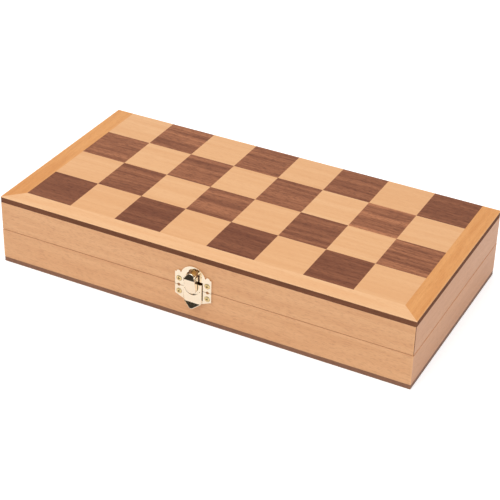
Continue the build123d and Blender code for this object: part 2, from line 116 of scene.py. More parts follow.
def arc(
    centre: Sequence[float], radius: float, start: float, end: float, steps: int, level: float = 0.0
) -> list[Point]:
    """Points round an arc, both ends among them.

    Args:
        centre: The arc's middle.
        radius: Its radius.
        start: The first angle, in degrees.
        end: The last angle.
        steps: How many chords it has.
        level: The height of the plane that it lies in.

    Returns:
        The points.
    """
    angles = [math.radians(start + (end - start) * step / steps) for step in range(steps + 1)]
    return [(centre[0] + radius * math.cos(a), centre[1] + radius * math.sin(a), level) for a in angles]


# Shader graphs and the groups that several finishes share


class Graph:
    """Adds nodes to one shader tree and joins them."""

    def __init__(self, tree: bpy.types.NodeTree) -> None:
        """Keeps the tree that nodes are added to."""
        self.tree = tree

    def feed(self, node: Node, inputs: dict) -> Node:
        """Gives a node's sockets their values, or the sockets that feed them.

        Args:
            node: The node.
            inputs: Values and feeding sockets by the socket's name or number.

        Returns:
            The node.
        """
        for name, value in inputs.items():
            if isinstance(value, Socket):
                self.tree.links.new(value, node.inputs[name])
            else:
                node.inputs[name].default_value = value
        return node

    def add(self, kind: str, inputs: dict | None = None, **settings: object) -> Node:
        """Adds one node.

        Args:
            kind: The node's type.
            inputs: What its sockets get, as in feed.
            settings: Attributes to set on it.

        Returns:
            The new node.
        """
        node = self.tree.nodes.new(kind)
        for name, value in settings.items():
            setattr(node, name, value)
        return self.feed(node, inputs or {})

    def maths(self, operation: str, *values: object) -> Socket:
        """The result of one sum on numbers or sockets."""
        return self.add("ShaderNodeMath", dict(enumerate(values)), operation=operation).outputs[0]

    def vectors(self, operation: str, *values: object) -> Socket:
        """The result of one sum on vectors."""
        return self.add("ShaderNodeVectorMath", dict(enumerate(values)), operation=operation).outputs[0]

    def split(self, vector: Socket) -> Sequence[Socket]:
        """A vector's three numbers."""
        return self.add("ShaderNodeSeparateXYZ", {0: vector}).outputs

    def combine(self, parts: dict) -> Socket:
        """A vector of the numbers given by their place in it."""
        return self.add("ShaderNodeCombineXYZ", parts).outputs[0]

    def noise(self, place: Socket, stretch: Point, detail: float = 2.0) -> Socket:
        """Cloudy noise, from 0 to 1, at so many waves a millimetre each way."""
        scaled = self.vectors("MULTIPLY", place, stretch)
        inputs = {"Vector": scaled, "Scale": 1.0, "Detail": detail, "Roughness": 0.55}
        return self.add("ShaderNodeTexNoise", inputs).outputs["Fac"]

    def between(self, value: Socket, low: float, high: float) -> Socket:
        """A value eased from 0 at its low limit to 1 at its high one."""
        inputs = {"Value": value, "From Min": low, "From Max": high}
        return self.add("ShaderNodeMapRange", inputs, interpolation_type="SMOOTHSTEP").outputs["Result"]

    def blend(self, share: Socket, first: object, second: object) -> Socket:
        """One colour turning into another by a share from 0 to 1."""
        return self.add("ShaderNodeMix", {0: share, 6: first, 7: second}, data_type="RGBA").outputs[2]

    def bump(self, height: Socket, depth: float) -> Socket:
        """The normal of a surface whose height is so many millimetres deep."""
        inputs = {"Height": height, "Distance": depth * MM, "Strength": 1.0}
        return self.add("ShaderNodeBump", inputs).outputs["Normal"]


@dataclass(frozen=True)
class SharedGroup:
    """A shader node group that is built once and placed in many materials."""

    name: str
    takes: str
    gives: str
    wire: Callable[..., Sequence[Socket]]

    def place(self, graph: Graph, *values: object) -> Sequence[Socket]:
        """Places the group in a graph, feeds it in order and gives its outputs."""
        return graph.add("ShaderNodeGroup", dict(enumerate(values)), node_tree=self.tree()).outputs

    def tree(self) -> bpy.types.NodeTree:
        """The group's tree, built on its first use."""
        if self.name in bpy.data.node_groups:
            return bpy.data.node_groups[self.name]
        tree = bpy.data.node_groups.new(self.name, "ShaderNodeTree")
        for way, sockets in (("INPUT", self.takes), ("OUTPUT", self.gives)):
            for name, kind in (socket.split(":") for socket in sockets.split()):
                tree.interface.new_socket(name, in_out=way, socket_type=f"NodeSocket{kind}")
        graph = Graph(tree)
        entry = graph.add("NodeGroupInput")
        results = self.wire(graph, *entry.outputs[: len(self.takes.split())])
        graph.add("NodeGroupOutput", dict(enumerate(results)))
        return tree


def wire_wood_figure(graph: Graph, *sockets: Socket) -> Sequence[Socket]:
    """Growth bands, fine fibres and short flecks, with the grain along the place's X."""
    place, early, late, fleck_colour, streak_share, fleck_share, rough = sockets
    sway_reach, band_share, slant = 9.0, 0.62, 0.07
    sway = graph.noise(place, (0.012, 0.03, 0.03))
    push = graph.maths("MULTIPLY", graph.maths("SUBTRACT", sway, 0.5), sway_reach)
    bent = graph.vectors("ADD", place, graph.combine({1: push, 2: push}))
    bands = graph.noise(bent, (0.006, 0.17, 0.17), 3.0)
    fibres = graph.noise(bent, (0.045, 2.1, 2.1), 4.0)
    fine = graph.maths("MULTIPLY", fibres, 1 - band_share)
    mixed = graph.maths("MULTIPLY_ADD", bands, band_share, fine)
    streak = graph.maths("MULTIPLY", graph.between(mixed, 0.36, 0.64), streak_share)
    ground = graph.blend(streak, early, late)
    lean = graph.maths("MULTIPLY", graph.split(place)[0], slant)
    slanted = graph.vectors("ADD", place, graph.combine({1: lean, 2: lean}))
    dashes = graph.noise(slanted, (0.24, 1.25, 1.25))
    fleck = graph.maths("MULTIPLY", graph.between(dashes, 0.46, 0.72), fleck_share)
    colour = graph.blend(fleck, ground, fleck_colour)
    roughness = graph.maths("MULTIPLY_ADD", fibres, 0.16, rough)
    return colour, roughness, graph.maths("SUBTRACT", fibres, fleck)


def wire_veneer_leaf(graph: Graph, place: Socket, corner: Socket, square: Socket) -> Sequence[Socket]:
    """Moves the place to another part of the tree in each square, and gives the square a tone.

    The squares of the first row are cut from the darkest leaf.
    """
    spread, darkest = (900.0, 400.0, 400.0), 1.2
    cell = graph.vectors("DIVIDE", graph.vectors("SUBTRACT", place, corner), square)
    flat = graph.vectors("MULTIPLY", graph.vectors("FLOOR", cell), (1.0, 1.0, 0.0))
    chance = graph.add("ShaderNodeTexWhiteNoise", {"Vector": flat}).outputs
    moved = graph.vectors("MULTIPLY_ADD", chance["Color"], spread, place)
    in_first = graph.maths("COMPARE", graph.split(flat)[1], 0.0, 0.5)
    first_row = graph.maths("MULTIPLY", in_first, darkest)
    return moved, graph.maths("MAXIMUM", chance["Value"], first_row)


def wire_edge_tone(graph: Graph, *sockets: Socket) -> Sequence[Socket]:
    """A mask near the edges of a box, broken up by noise, where the wood takes its edge colour."""
    place, middle, half_size, width = sockets
    from_middle = graph.vectors("ABSOLUTE", graph.vectors("SUBTRACT", place, middle))
    parts = graph.split(graph.vectors("SUBTRACT", half_size, from_middle))
    least = graph.maths("MINIMUM", parts[0], parts[1])
    most = graph.maths("MAXIMUM", parts[0], parts[1])
    second = graph.maths("MAXIMUM", least, graph.maths("MINIMUM", most, parts[2]))
    patchy = graph.noise(place, (0.11, 0.11, 0.11), 3.0)
    reach = graph.maths("MULTIPLY", width, graph.maths("ADD", patchy, 0.25))
    mask = graph.maths("SUBTRACT", 1.0, graph.maths("DIVIDE", second, reach))
    return (graph.between(mask, 0.0, 1.0),)


def wire_hairlines(graph: Graph, place: Socket, rough: Socket) -> Sequence[Socket]:
    """Faint polishing lines and finger marks on bright metal."""
    lines = graph.noise(place, (0.5, 9.0, 2.0))
    marks = graph.noise(place, (0.35, 0.35, 0.35), 3.0)
    smeared = graph.maths("MULTIPLY_ADD", graph.between(marks, 0.35, 0.75), 0.12, rough)
    return smeared, graph.maths("MULTIPLY_ADD", lines, 0.3, marks)


def wire_fibres(graph: Graph, place: Socket, deep: Socket, lit: Socket) -> Sequence[Socket]:
    """Matted short fibres, as on felt and flock."""
    tangle = graph.noise(place, (3.1, 3.1, 3.1), 4.0)
    clumps = graph.noise(place, (0.16, 0.16, 0.16), 3.0)
    share = graph.maths("MULTIPLY_ADD", tangle, 0.6, graph.maths("MULTIPLY", clumps, 0.4))
    return graph.blend(graph.between(share, 0.3, 0.7), deep, lit), tangle


WOOD_FIGURE = SharedGroup(
    "wood_figure",
    "Place:Vector Early:Color Late:Color Fleck:Color Streak:Float FleckShare:Float Rough:Float",
    "Color:Color Roughness:Float Height:Float",
    wire_wood_figure,
)
VENEER_LEAF = SharedGroup(
    "veneer_leaf", "Place:Vector Corner:Vector Square:Vector", "Place:Vector Tone:Float", wire_veneer_leaf
)
EDGE_TONE = SharedGroup(
    "edge_tone", "Place:Vector Middle:Vector HalfSize:Vector Width:Float", "Mask:Float", wire_edge_tone
)
HAIRLINES = SharedGroup(
    "hairlines", "Place:Vector Rough:Float", "Roughness:Float Height:Float", wire_hairlines
)
FIBRES = SharedGroup(
    "fibres", "Place:Vector Deep:Color Lit:Color", "Color:Color Height:Float", wire_fibres
)


# Finishes


@dataclass(frozen=True)
class BoxSpace:
    """The closed box and its squares in millimetres, and the materials made for it."""

    middle: Point
    half_size: Point
    corner: Point
    square: float
    made: dict[str, bpy.types.Material] = field(default_factory=dict)


class Grain(Enum):
    """The way a piece's grain runs in the box's frame."""

    ALONG = "XYZ"
    ACROSS = "YXZ"


@dataclass(frozen=True)
class Finish:
    """What every finish has: a name and a way to make its material."""

    name: str

    def wire(self, graph: Graph, place: Socket, box: BoxSpace) -> dict:
        """What the shader's sockets get, given the place in millimetres."""
        raise NotImplementedError

    def on(self, box: BoxSpace) -> bpy.types.Material:
        """The finish's material for a box, made on its first use."""
        if self.name not in box.made:
            material = bpy.data.materials.new(self.name)
            material.use_nodes = True
            graph = Graph(material.node_tree)
            place = graph.add("ShaderNodeTexCoord").outputs["Object"]
            inputs = self.wire(graph, graph.vectors("MULTIPLY", place, (1 / MM, 1 / MM, 1 / MM)), box)
            graph.feed(material.node_tree.nodes["Principled BSDF"], inputs)
            box.made[self.name] = material
        return box.made[self.name]


@dataclass(frozen=True)
class Wood(Finish):
    """Planed wood under a thin satin varnish."""

    early: str
    late: str
    fleck: str
    edge_colour: str
    grain: Grain = Grain.ALONG
    streak: float = 0.7
    fleck_share: float = 0.4
    rough: float = 0.36
    varnish: float = 0.08
    gloss: float = 0.3
    leaf_tone: float = 0.0
    relief: float = 0.012
    wear_width: float = 2.2
    edge_share: float = 0.4
    start_place: Point = (0.0, 0.0, 0.0)

    def wire(self, graph: Graph, place: Socket, box: BoxSpace) -> dict:
        """Figured wood, with a leaf of its own in each square if it has a leaf tone."""
        run = place
        if self.grain is not Grain.ALONG:
            parts = graph.split(place)
            run = graph.combine({at: parts["XYZ".index(way)] for at, way in enumerate(self.grain.value)})
        run = graph.vectors("ADD", run, self.start_place)
        early, late, fleck, edge_colour = (paint(code) for code in (self.early, self.late, self.fleck, self.edge_colour))
        ground: object = early
        if self.leaf_tone:
            run, tone = VENEER_LEAF.place(graph, run, box.corner, (box.square,) * 3)
            ground = graph.blend(graph.maths("MULTIPLY", tone, self.leaf_tone), early, late)
        shares = (self.streak, self.fleck_share, self.rough)
        colour, rough, height = WOOD_FIGURE.place(graph, run, ground, late, fleck, *shares)
        # Near the box's edges the colour turns towards the finish's edge colour, mostly a lighter one.
        mask = EDGE_TONE.place(graph, place, box.middle, box.half_size, self.wear_width)[0]
        edge_mix = graph.maths("MULTIPLY", mask, self.edge_share)
        return {
            "Base Color": graph.blend(edge_mix, colour, edge_colour),
            "Roughness": rough,
            "Coat Weight": self.varnish,
            "Coat Roughness": 0.26,
            "Specular IOR Level": self.gloss,
            "Normal": graph.bump(height, self.relief),
        }


@dataclass(frozen=True)
class Metal(Finish):
    """Bright metal with faint polishing lines."""

    colour: str
    rough: float
    relief: float = 0.004

    def wire(self, graph: Graph, place: Socket, box: BoxSpace) -> dict:
        """Polished metal."""
        rough, height = HAIRLINES.place(graph, place, self.rough)
        look = {"Base Color": paint(self.colour), "Metallic": 1.0, "Roughness": rough}
        return {**look, "Normal": graph.bump(height, self.relief)}


@dataclass(frozen=True)
class Felt(Finish):
    """Felt or flock, with a soft sheen."""

    deep: str
    lit: str
    relief: float = 0.25

    def wire(self, graph: Graph, place: Socket, box: BoxSpace) -> dict:
        """Matted fibres that catch the light at a slant."""
        colour, height = FIBRES.place(graph, place, paint(self.deep), paint(self.lit))
        return {
            "Base Color": colour,
            "Roughness": 0.95,
            "Specular IOR Level": 0.15,
            "Sheen Weight": 0.35,
            "Sheen Roughness": 0.5,
            "Sheen Tint": paint(self.lit),
            "Normal": graph.bump(height, self.relief),
        }


FRONT_BEECH = Wood("beech_along", "E2AC7C", "D09465", "B27650", "EAB686", streak=0.55, fleck_share=0.34)
SIDE_BEECH = Wood(
    "beech_across", "DAA47C", "CC926C", "B27854", "E0AE88", Grain.ACROSS, streak=0.5, fleck_share=0.25
)
RAW_RIM = Wood(
    "oiled_rim", "CE8046", "B86A36", "96542C", "D2864E", streak=0.5, fleck_share=0.2, varnish=0.0, gloss=0.15
)
FRONT_RIM = Wood(
    "oiled_front_rim", "CE986E", "BE865E", "A26C48", "D49E74",
    streak=0.5, fleck_share=0.2, varnish=0.0, gloss=0.15,
)
CORE = Wood(
    "stained_core", "7A4E38", "623E2C", "4C3024", "865A42",
    streak=0.6, fleck_share=0.3, rough=0.6, varnish=0.0, gloss=0.05,
)
FOOT_EDGE = Wood(
    "stained_foot_edge", "926850", "7A5442", "5C4032", "8C6C58",
    streak=0.6, fleck_share=0.3, varnish=0.0, gloss=0.2,
)
PALE_VENEER = Wood(
    "beech_veneer", "F0BA85", "E3A56D", "D08E5E", "F2C08E",
    streak=0.6, fleck_share=0.2, leaf_tone=0.3, start_place=(40.0, 0.0, 0.0),
)
DARK_VENEER = Wood(
    "walnut_veneer", "C27F58", "703E2A", "4E2A1E", "A86E52",
    streak=0.8, fleck_share=0.5, varnish=0.04, gloss=0.1, leaf_tone=0.55,
)
FRONT_BORDER = Wood(
    "border_along", "F3BE8A", "E8AA72", "D29060", "F6C694",
    streak=0.55, fleck_share=0.2, start_place=(0.0, 70.0, 0.0),
)
SIDE_BORDER = Wood(
    "border_across", "E8A460", "D68B47", "BE743C", "EEB270", Grain.ACROSS, streak=0.75, fleck_share=0.25
)
LIGHT_MEN = Wood(
    "light_chessmen", "EABE88", "D8A46C", "BE8656", "EABE88",
    Grain.ACROSS, streak=0.6, fleck_share=0.25, varnish=0.5, wear_width=0.01,
)
DARK_MEN = Wood(
    "dark_chessmen", "683E2C", "46281E", "341E18", "683E2C",
    Grain.ACROSS, streak=0.8, fleck_share=0.3, varnish=0.5, wear_width=0.01,
)
LATCH_BRASS = Metal("latch_brass", "FCEBD0", 0.07)
# Dark brass that paints shade: inside the screws' cross recesses, in the groove under the tongue's tip, on
# the cheeks' lower parts and on the leaves behind the raised middle.
PAINTED_SHADE_BRASS = Metal("painted_shade_brass", "4E321A", 0.45)
HINGE_BRASS = Metal("hinge_brass", "EECE8C", 0.2)
SCREW_BRASS = Metal("screw_brass", "F0D498", 0.24)
SPRING_STEEL = Metal("straw_spring_steel", "E2C08A", 0.36)
GREEN_FELT = Felt("felt_lining", "163E2A", "34684A")
GREEN_FLOCK = Felt("flocked_tray", "123625", "2C5C42", 0.18)
FOOT_FELT = Felt("foot_felt", "143A28", "306246", 0.12)


# Modelling by hand


class Work:
    """One piece on the bench, modelled in millimetres with Blender's own operators."""

    def __init__(self, body: bpy.types.Object | None = None) -> None:
        """Takes an object, or the one just added, and makes its own place part of its mesh."""
        self.body = body or bpy.context.object
        self.settle()

    @staticmethod
    def clear() -> None:
        """Deselects every object."""
        if bpy.context.object and bpy.context.object.mode != "OBJECT":
            bpy.ops.object.mode_set(mode="OBJECT")
        for other in bpy.context.selected_objects:
            other.select_set(False)

    @classmethod
    def block(cls, low: Point, high: Point) -> Work:
        """A box between two corners."""
        cls.clear()
        middle = [(a + b) / 2 for a, b in zip(low, high)]
        size = [b - a for a, b in zip(low, high)]
        bpy.ops.mesh.primitive_cube_add(size=1.0, location=middle, scale=size)
        return cls()

    @classmethod
    def bar(cls, radius: float, low: Point, high: Point, sides: int = 64) -> Work:
        """A round bar between two points."""
        cls.clear()
        run = Vector(high) - Vector(low)
        at, lean = (Vector(low) + Vector(high)) / 2, run.to_track_quat("Z", "Y").to_euler()
        bpy.ops.mesh.primitive_cylinder_add(
            vertices=sides, radius=radius, depth=run.length, location=at, rotation=lean
        )
        return cls()

    @classmethod
    def line(cls, points: Sequence[Point]) -> Work:
        """A chain of edges drawn point by point."""
        cls.clear()
        bpy.ops.mesh.primitive_plane_add(size=1.0, location=(0, 0, 0))
        work = cls()
        work.edit(chosen="SELECT")
        bpy.ops.mesh.merge(type="CENTER")
        bpy.ops.transform.translate(value=points[0])
        for before, after in zip(points, points[1:]):
            step = Vector(after) - Vector(before)
            bpy.ops.mesh.extrude_region_move(TRANSFORM_OT_translate={"value": step})
        return work.close()

    @classmethod
    def prism(cls, points: Sequence[Point], step: Point) -> Work:
        """A solid with a drawn outline, pulled out by a step."""
        return cls.line(points).over_all(bpy.ops.mesh.edge_face_add).pull(step, "FACE").tidy()

    @classmethod
    def softened(cls, node: str, width: float, where: Test = whole, segments: int = 3) -> Work:
        """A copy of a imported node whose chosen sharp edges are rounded, still in millimetres.

        Args:
            node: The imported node.
            width: How far each edge is drawn back.
            where: Says of an edge's middle whether it is rounded.
            segments: The number of flats across the rounding.

        Returns:
            The copy.
        """
        cls.clear()
        body = bpy.data.objects.new(f"{node}_soft", bpy.data.objects[node].data.copy())
        bpy.context.scene.collection.objects.link(body)
        body.data.materials.clear()
        body.data.transform(Matrix.Scale(1 / MM, 4))
        return cls(body).tidy(0.002).flatten().round_edges(width, where, segments)

    def select(self) -> None:
        """Selects this piece alone."""
        self.clear()
        self.body.select_set(True)
        bpy.context.view_layer.objects.active = self.body

    def settle(self) -> Work:
        """Makes the object's place, turn and scale part of its mesh."""
        self.select()
        bpy.ops.object.transform_apply(location=True, rotation=True, scale=True)
        return self

    def edit(self, mode: str = "VERT", chosen: str = "DESELECT") -> None:
        """Opens edit mode with nothing or everything selected."""
        self.select()
        bpy.ops.object.mode_set(mode="EDIT")
        bpy.ops.mesh.select_mode(type=mode)
        bpy.ops.mesh.select_all(action=chosen)

    def close(self) -> Work:
        """Goes back to object mode."""
        bpy.ops.object.mode_set(mode="OBJECT")
        return self

    def choose(self, mode: str, where: Callable[[object], bool]) -> None:
        """Opens edit mode with the chosen faces or points selected.

        Args:
            mode: FACE or VERT.
            where: Says of a face or a point whether it is chosen.
        """
        self.edit(mode)
        self.close()
        for item in self.body.data.polygons if mode == "FACE" else self.body.data.vertices:
            item.select = where(item)
        bpy.ops.object.mode_set(mode="EDIT")

    def over_all(self, operator: Callable, mode: str = "VERT", **settings: object) -> Work:
        """Runs one edit on the whole mesh.

        Args:
            operator: The mesh operator.
            mode: What is selected: points, edges or faces.
            settings: The operator's own settings.

        Returns:
            This piece.
        """
        self.edit(mode, "SELECT")
        operator(**settings)
        return self.close()

    def tidy(self, reach: float = 0.001) -> Work:
        """Merges doubled points and turns every face outwards."""
        self.over_all(bpy.ops.mesh.remove_doubles, threshold=reach)
        return self.over_all(bpy.ops.mesh.normals_make_consistent, inside=False)

    def flatten(self) -> Work:
        """Joins triangles that lie in one plane."""
        return self.over_all(bpy.ops.mesh.dissolve_limited, angle_limit=math.radians(0.5))

    def pull(self, step: Point, mode: str) -> Work:
        """Pulls the whole of a flat piece or a line out by a step."""
        return self.over_all(bpy.ops.mesh.extrude_region_move, mode, TRANSFORM_OT_translate={"value": step})

    def spin(self, steps: int) -> Work:
        """Turns the drawn profile about Z."""
        full = {"steps": steps, "angle": 2 * math.pi, "center": (0, 0, 0), "axis": (0, 0, 1)}
        return self.over_all(bpy.ops.mesh.spin, **full).tidy(0.004)

    def slice(self, at: Point, way: Point, **settings: bool) -> Work:
        """Marks edges all round where a plane crosses the piece, and cuts there if told to."""
        plane = {"plane_co": at, "plane_no": Vector(way).normalized(), "threshold": 1e-5}
        return self.over_all(bpy.ops.mesh.bisect, **plane, **settings)

    def trim(self, at: Point, outward: Point) -> Work:
        """Slices off what lies beyond a plane, and closes the cut."""
        return self.slice(at, outward, use_fill=True, clear_outer=True)

    def round_edges(
        self, width: float, where: Test = whole, segments: int = 3, least_turn: float = 25.0
    ) -> Work:
        """Rounds the chosen sharp edges.

        Args:
            width: How far each edge is drawn back.
            where: Says of an edge's middle whether it is rounded.
            segments: The number of flats across the rounding.
            least_turn: How far an edge must turn to be sharp, in degrees.

        Returns:
            This piece.
        """
        self.edit("EDGE")
        bpy.ops.mesh.edges_select_sharp(sharpness=math.radians(least_turn))
        self.close()
        mesh = self.body.data
        sharp = [edge for edge in mesh.edges if edge.select]
        for part in (mesh.vertices, mesh.edges, mesh.polygons):
            part.foreach_set("select", [False] * len(part))
        for edge in sharp:
            one, other = (mesh.vertices[number].co for number in edge.vertices)
            edge.select = where((one + other) / 2)
        bpy.ops.object.mode_set(mode="EDIT")
        bpy.ops.mesh.bevel(offset=width, segments=segments, profile=0.5, clamp_overlap=True)
        return self.close()

    def ease(self, width: float, *rest: object) -> Work:
        """Cleans up after cuts and rounds the edges, as round_edges does."""
        return self.tidy().flatten().round_edges(width, *rest)

    def modify(self, kind: str, **settings: object) -> Work:
        """Applies one modifier.

        Args:
            kind: The modifier's type.
            settings: Its attributes.

        Returns:
            This piece.
        """
        self.select()
        modifier = self.body.modifiers.new(kind, kind)
        for name, value in settings.items():
            setattr(modifier, name, value)
        bpy.ops.object.modifier_apply(modifier=modifier.name)
        return self

    def cut(self, *tools: Work, operation: str = "DIFFERENCE") -> Work:
        """Cuts with other pieces, or joins them on, and clears them away."""
        for tool in tools:
            self.modify("BOOLEAN", operation=operation, object=tool.body, solver="EXACT")
            bpy.data.objects.remove(tool.body)
        return self

    def add_on(self, *tools: Work) -> Work:
        """Joins other pieces on as one solid."""
        return self.cut(*tools, operation="UNION")

    def keep_beside(self, *others: Work) -> Work:
        """Takes other pieces into this object as separate solids."""
        for other in others:
            self.select()
            other.body.select_set(True)
            bpy.ops.object.join()
        return self

    def wall(self, thickness: float) -> Work:
        """Gives an open skin its thickness, inwards."""
        return self.modify("SOLIDIFY", thickness=thickness, offset=-1.0, use_even_offset=True)

    def pinch(self, where: Test, across: float) -> Work:
        """Brings the chosen points towards the plane Y = 0, to a share of their distance."""
        self.choose("VERT", lambda point: where(point.co))
        bpy.ops.transform.resize(value=(1.0, across, 1.0), center_override=(0, 0, 0))
        return self.close()

    def twin(self) -> Work:
        """A copy with a mesh of its own."""
        body = self.body.copy()
        body.data = self.body.data.copy()
        bpy.context.scene.collection.objects.link(body)
        return Work(body)

    def move(self, placement: Matrix) -> Work:
        """Moves the piece on the bench."""
        self.body.matrix_world = placement
        return self.settle()

    def dress(self, box: BoxSpace, *finishes: Finish) -> Work:
        """Gives the piece its finishes, the first of them all over."""
        for finish in finishes:
            self.body.data.materials.append(finish.on(box))
        return self

    def mark(self, number: int, where: FaceTest) -> Work:
        """Gives the faces chosen by their middle and outward way the finish of a number."""
        for face in self.body.data.polygons:
            if where(face.center, face.normal):
                face.material_index = number
        return self

    def set_down(
        self,
        name: str,
        placement: Matrix,
        body: str,
        slot: str,
        nodes: Sequence[str],
        smooth_below: float = 32.0,
        even: bool = True,
    ) -> bpy.types.Object:
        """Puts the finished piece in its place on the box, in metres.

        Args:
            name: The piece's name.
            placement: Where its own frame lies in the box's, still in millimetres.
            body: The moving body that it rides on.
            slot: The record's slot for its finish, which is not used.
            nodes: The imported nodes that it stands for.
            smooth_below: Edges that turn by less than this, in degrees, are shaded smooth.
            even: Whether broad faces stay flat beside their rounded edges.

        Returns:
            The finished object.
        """
        self.move(Matrix.Scale(MM, 4) @ placement)
        bpy.ops.object.shade_smooth_by_angle(angle=math.radians(smooth_below))
        if even:
            self.modify("WEIGHTED_NORMAL", keep_sharp=True)
        self.body.name = self.body.data.name = name
        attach(self.body, body)
        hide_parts(*nodes)
        LOG.info("%s: %d faces on %s", name, len(self.body.data.polygons), body)
        return self.body


# The stage


@dataclass(frozen=True)
class Studio:
    """A white floor, soft lamps and the camera, as the box was pictured."""

    azimuth: float = 26.49
    elevation: float = 31.85
    roll: float = 1.68
    camera_place: Point = (0.4504, -0.9028, 0.6430)
    lens: float = 107.34
    sensor: float = 36.0
    floor_reach: float = 12.0
    floor_drop: float = 0.0004
    floor_seen: float = 0.46
    floor_mirrored: float = 0.07
    lamp_target: Point = (0.0, 0.0, 0.03)
    lamps: tuple[tuple[str, Point, float, float], ...] = (
        ("key_lamp", (-0.45, -0.75, 1.5), 1.3, 10.0),
        ("fill_lamp", (1.3, -1.1, 1.2), 1.2, 2.6),
    )

    def build(self) -> None:
        """Builds the floor, the world, the lamps and the camera."""
        scene = bpy.context.scene
        scene.view_settings.view_transform = "Standard"
        self.floor()
        scene.world = self.world()
        for lamp in self.lamps:
            self.lamp(*lamp)
        scene.camera = self.camera()

    def floor(self) -> None:
        """A large pale floor that keeps the box's shadow, less bright in mirrors than to the eye."""
        Work.clear()
        bpy.ops.mesh.primitive_plane_add(size=self.floor_reach, location=(0, 0, -self.floor_drop))
        floor = bpy.context.object
        floor.name = "studio_floor"
        material = bpy.data.materials.new("studio_white")
        material.use_nodes = True
        graph = Graph(material.node_tree)
        rays = graph.add("ShaderNodeLightPath").outputs
        bounced = graph.maths("MAXIMUM", rays["Is Glossy Ray"], rays["Is Transmission Ray"])
        shown = graph.maths("MULTIPLY", bounced, self.floor_mirrored)
        glow = graph.maths("MULTIPLY_ADD", rays["Is Camera Ray"], self.floor_seen, shown)
        look = {"Base Color": paint("F4F4F4"), "Roughness": 0.9, "Specular IOR Level": 0.1}
        look |= {"Emission Color": WHITE, "Emission Strength": glow}
        graph.feed(material.node_tree.nodes["Principled BSDF"], look)
        floor.data.materials.append(material)

    def world(self) -> bpy.types.World:
        """A pale room that is dark above the horizon on the camera's side."""
        world = bpy.data.worlds.new("studio_room")
        world.use_nodes = True
        graph = Graph(world.node_tree)
        parts = graph.split(graph.add("ShaderNodeTexCoord").outputs["Generated"])
        behind = graph.between(parts[1], -0.45, 0.25)
        low = graph.maths("SUBTRACT", 1.0, graph.between(parts[2], 0.0, 0.10))
        pale = graph.maths("MAXIMUM", behind, low)
        mirrored = graph.blend(pale, (0.04, 0.035, 0.03, 1.0), (0.62, 0.62, 0.62, 1.0))
        rays = graph.add("ShaderNodeLightPath").outputs
        room = graph.blend(rays["Is Glossy Ray"], (0.78, 0.79, 0.81, 1.0), mirrored)
        colour = graph.blend(rays["Is Camera Ray"], room, WHITE)
        graph.feed(world.node_tree.nodes["Background"], {"Color": colour})
        return world

    def lamp(self, name: str, place: Point, size: float, watts: float) -> None:
        """Adds one square soft lamp that points at the box.

        Args:
            name: Its name.
            place: Where it hangs, in metres.
            size: How wide it is.
            watts: How strong it is.
        """
        Work.clear()
        towards = Vector(self.lamp_target) - Vector(place)
        lean = towards.to_track_quat("-Z", "Y").to_euler()
        bpy.ops.object.light_add(type="AREA", location=place, rotation=lean)
        lamp = bpy.context.object
        lamp.name = name
        lamp.data.size = size
        lamp.data.energy = watts
        lamp.visible_camera = False

    def camera(self) -> bpy.types.Object:
        """The camera at the photograph's place."""
        Work.clear()
        around, above, roll = (math.radians(x) for x in (self.azimuth, self.elevation, self.roll))
        flat = math.cos(above)
        ahead = Vector((-math.sin(around) * flat, math.cos(around) * flat, -math.sin(above)))
        level = ahead.cross(Vector((0, 0, 1))).normalized()
        upright = level.cross(ahead)
        right = level * math.cos(roll) + upright * math.sin(roll)
        up = upright * math.cos(roll) - level * math.sin(roll)
        bpy.ops.object.camera_add(location=self.camera_place)
        camera = bpy.context.object
        camera.name = "photograph_camera"
        turned = Matrix((right, up, -ahead)).transposed().to_4x4()
        camera.matrix_world = shift(*self.camera_place) @ turned
        camera.data.lens = self.lens
        camera.data.sensor_width = self.sensor
        camera.data.clip_start = 0.05
        return camera


# The box


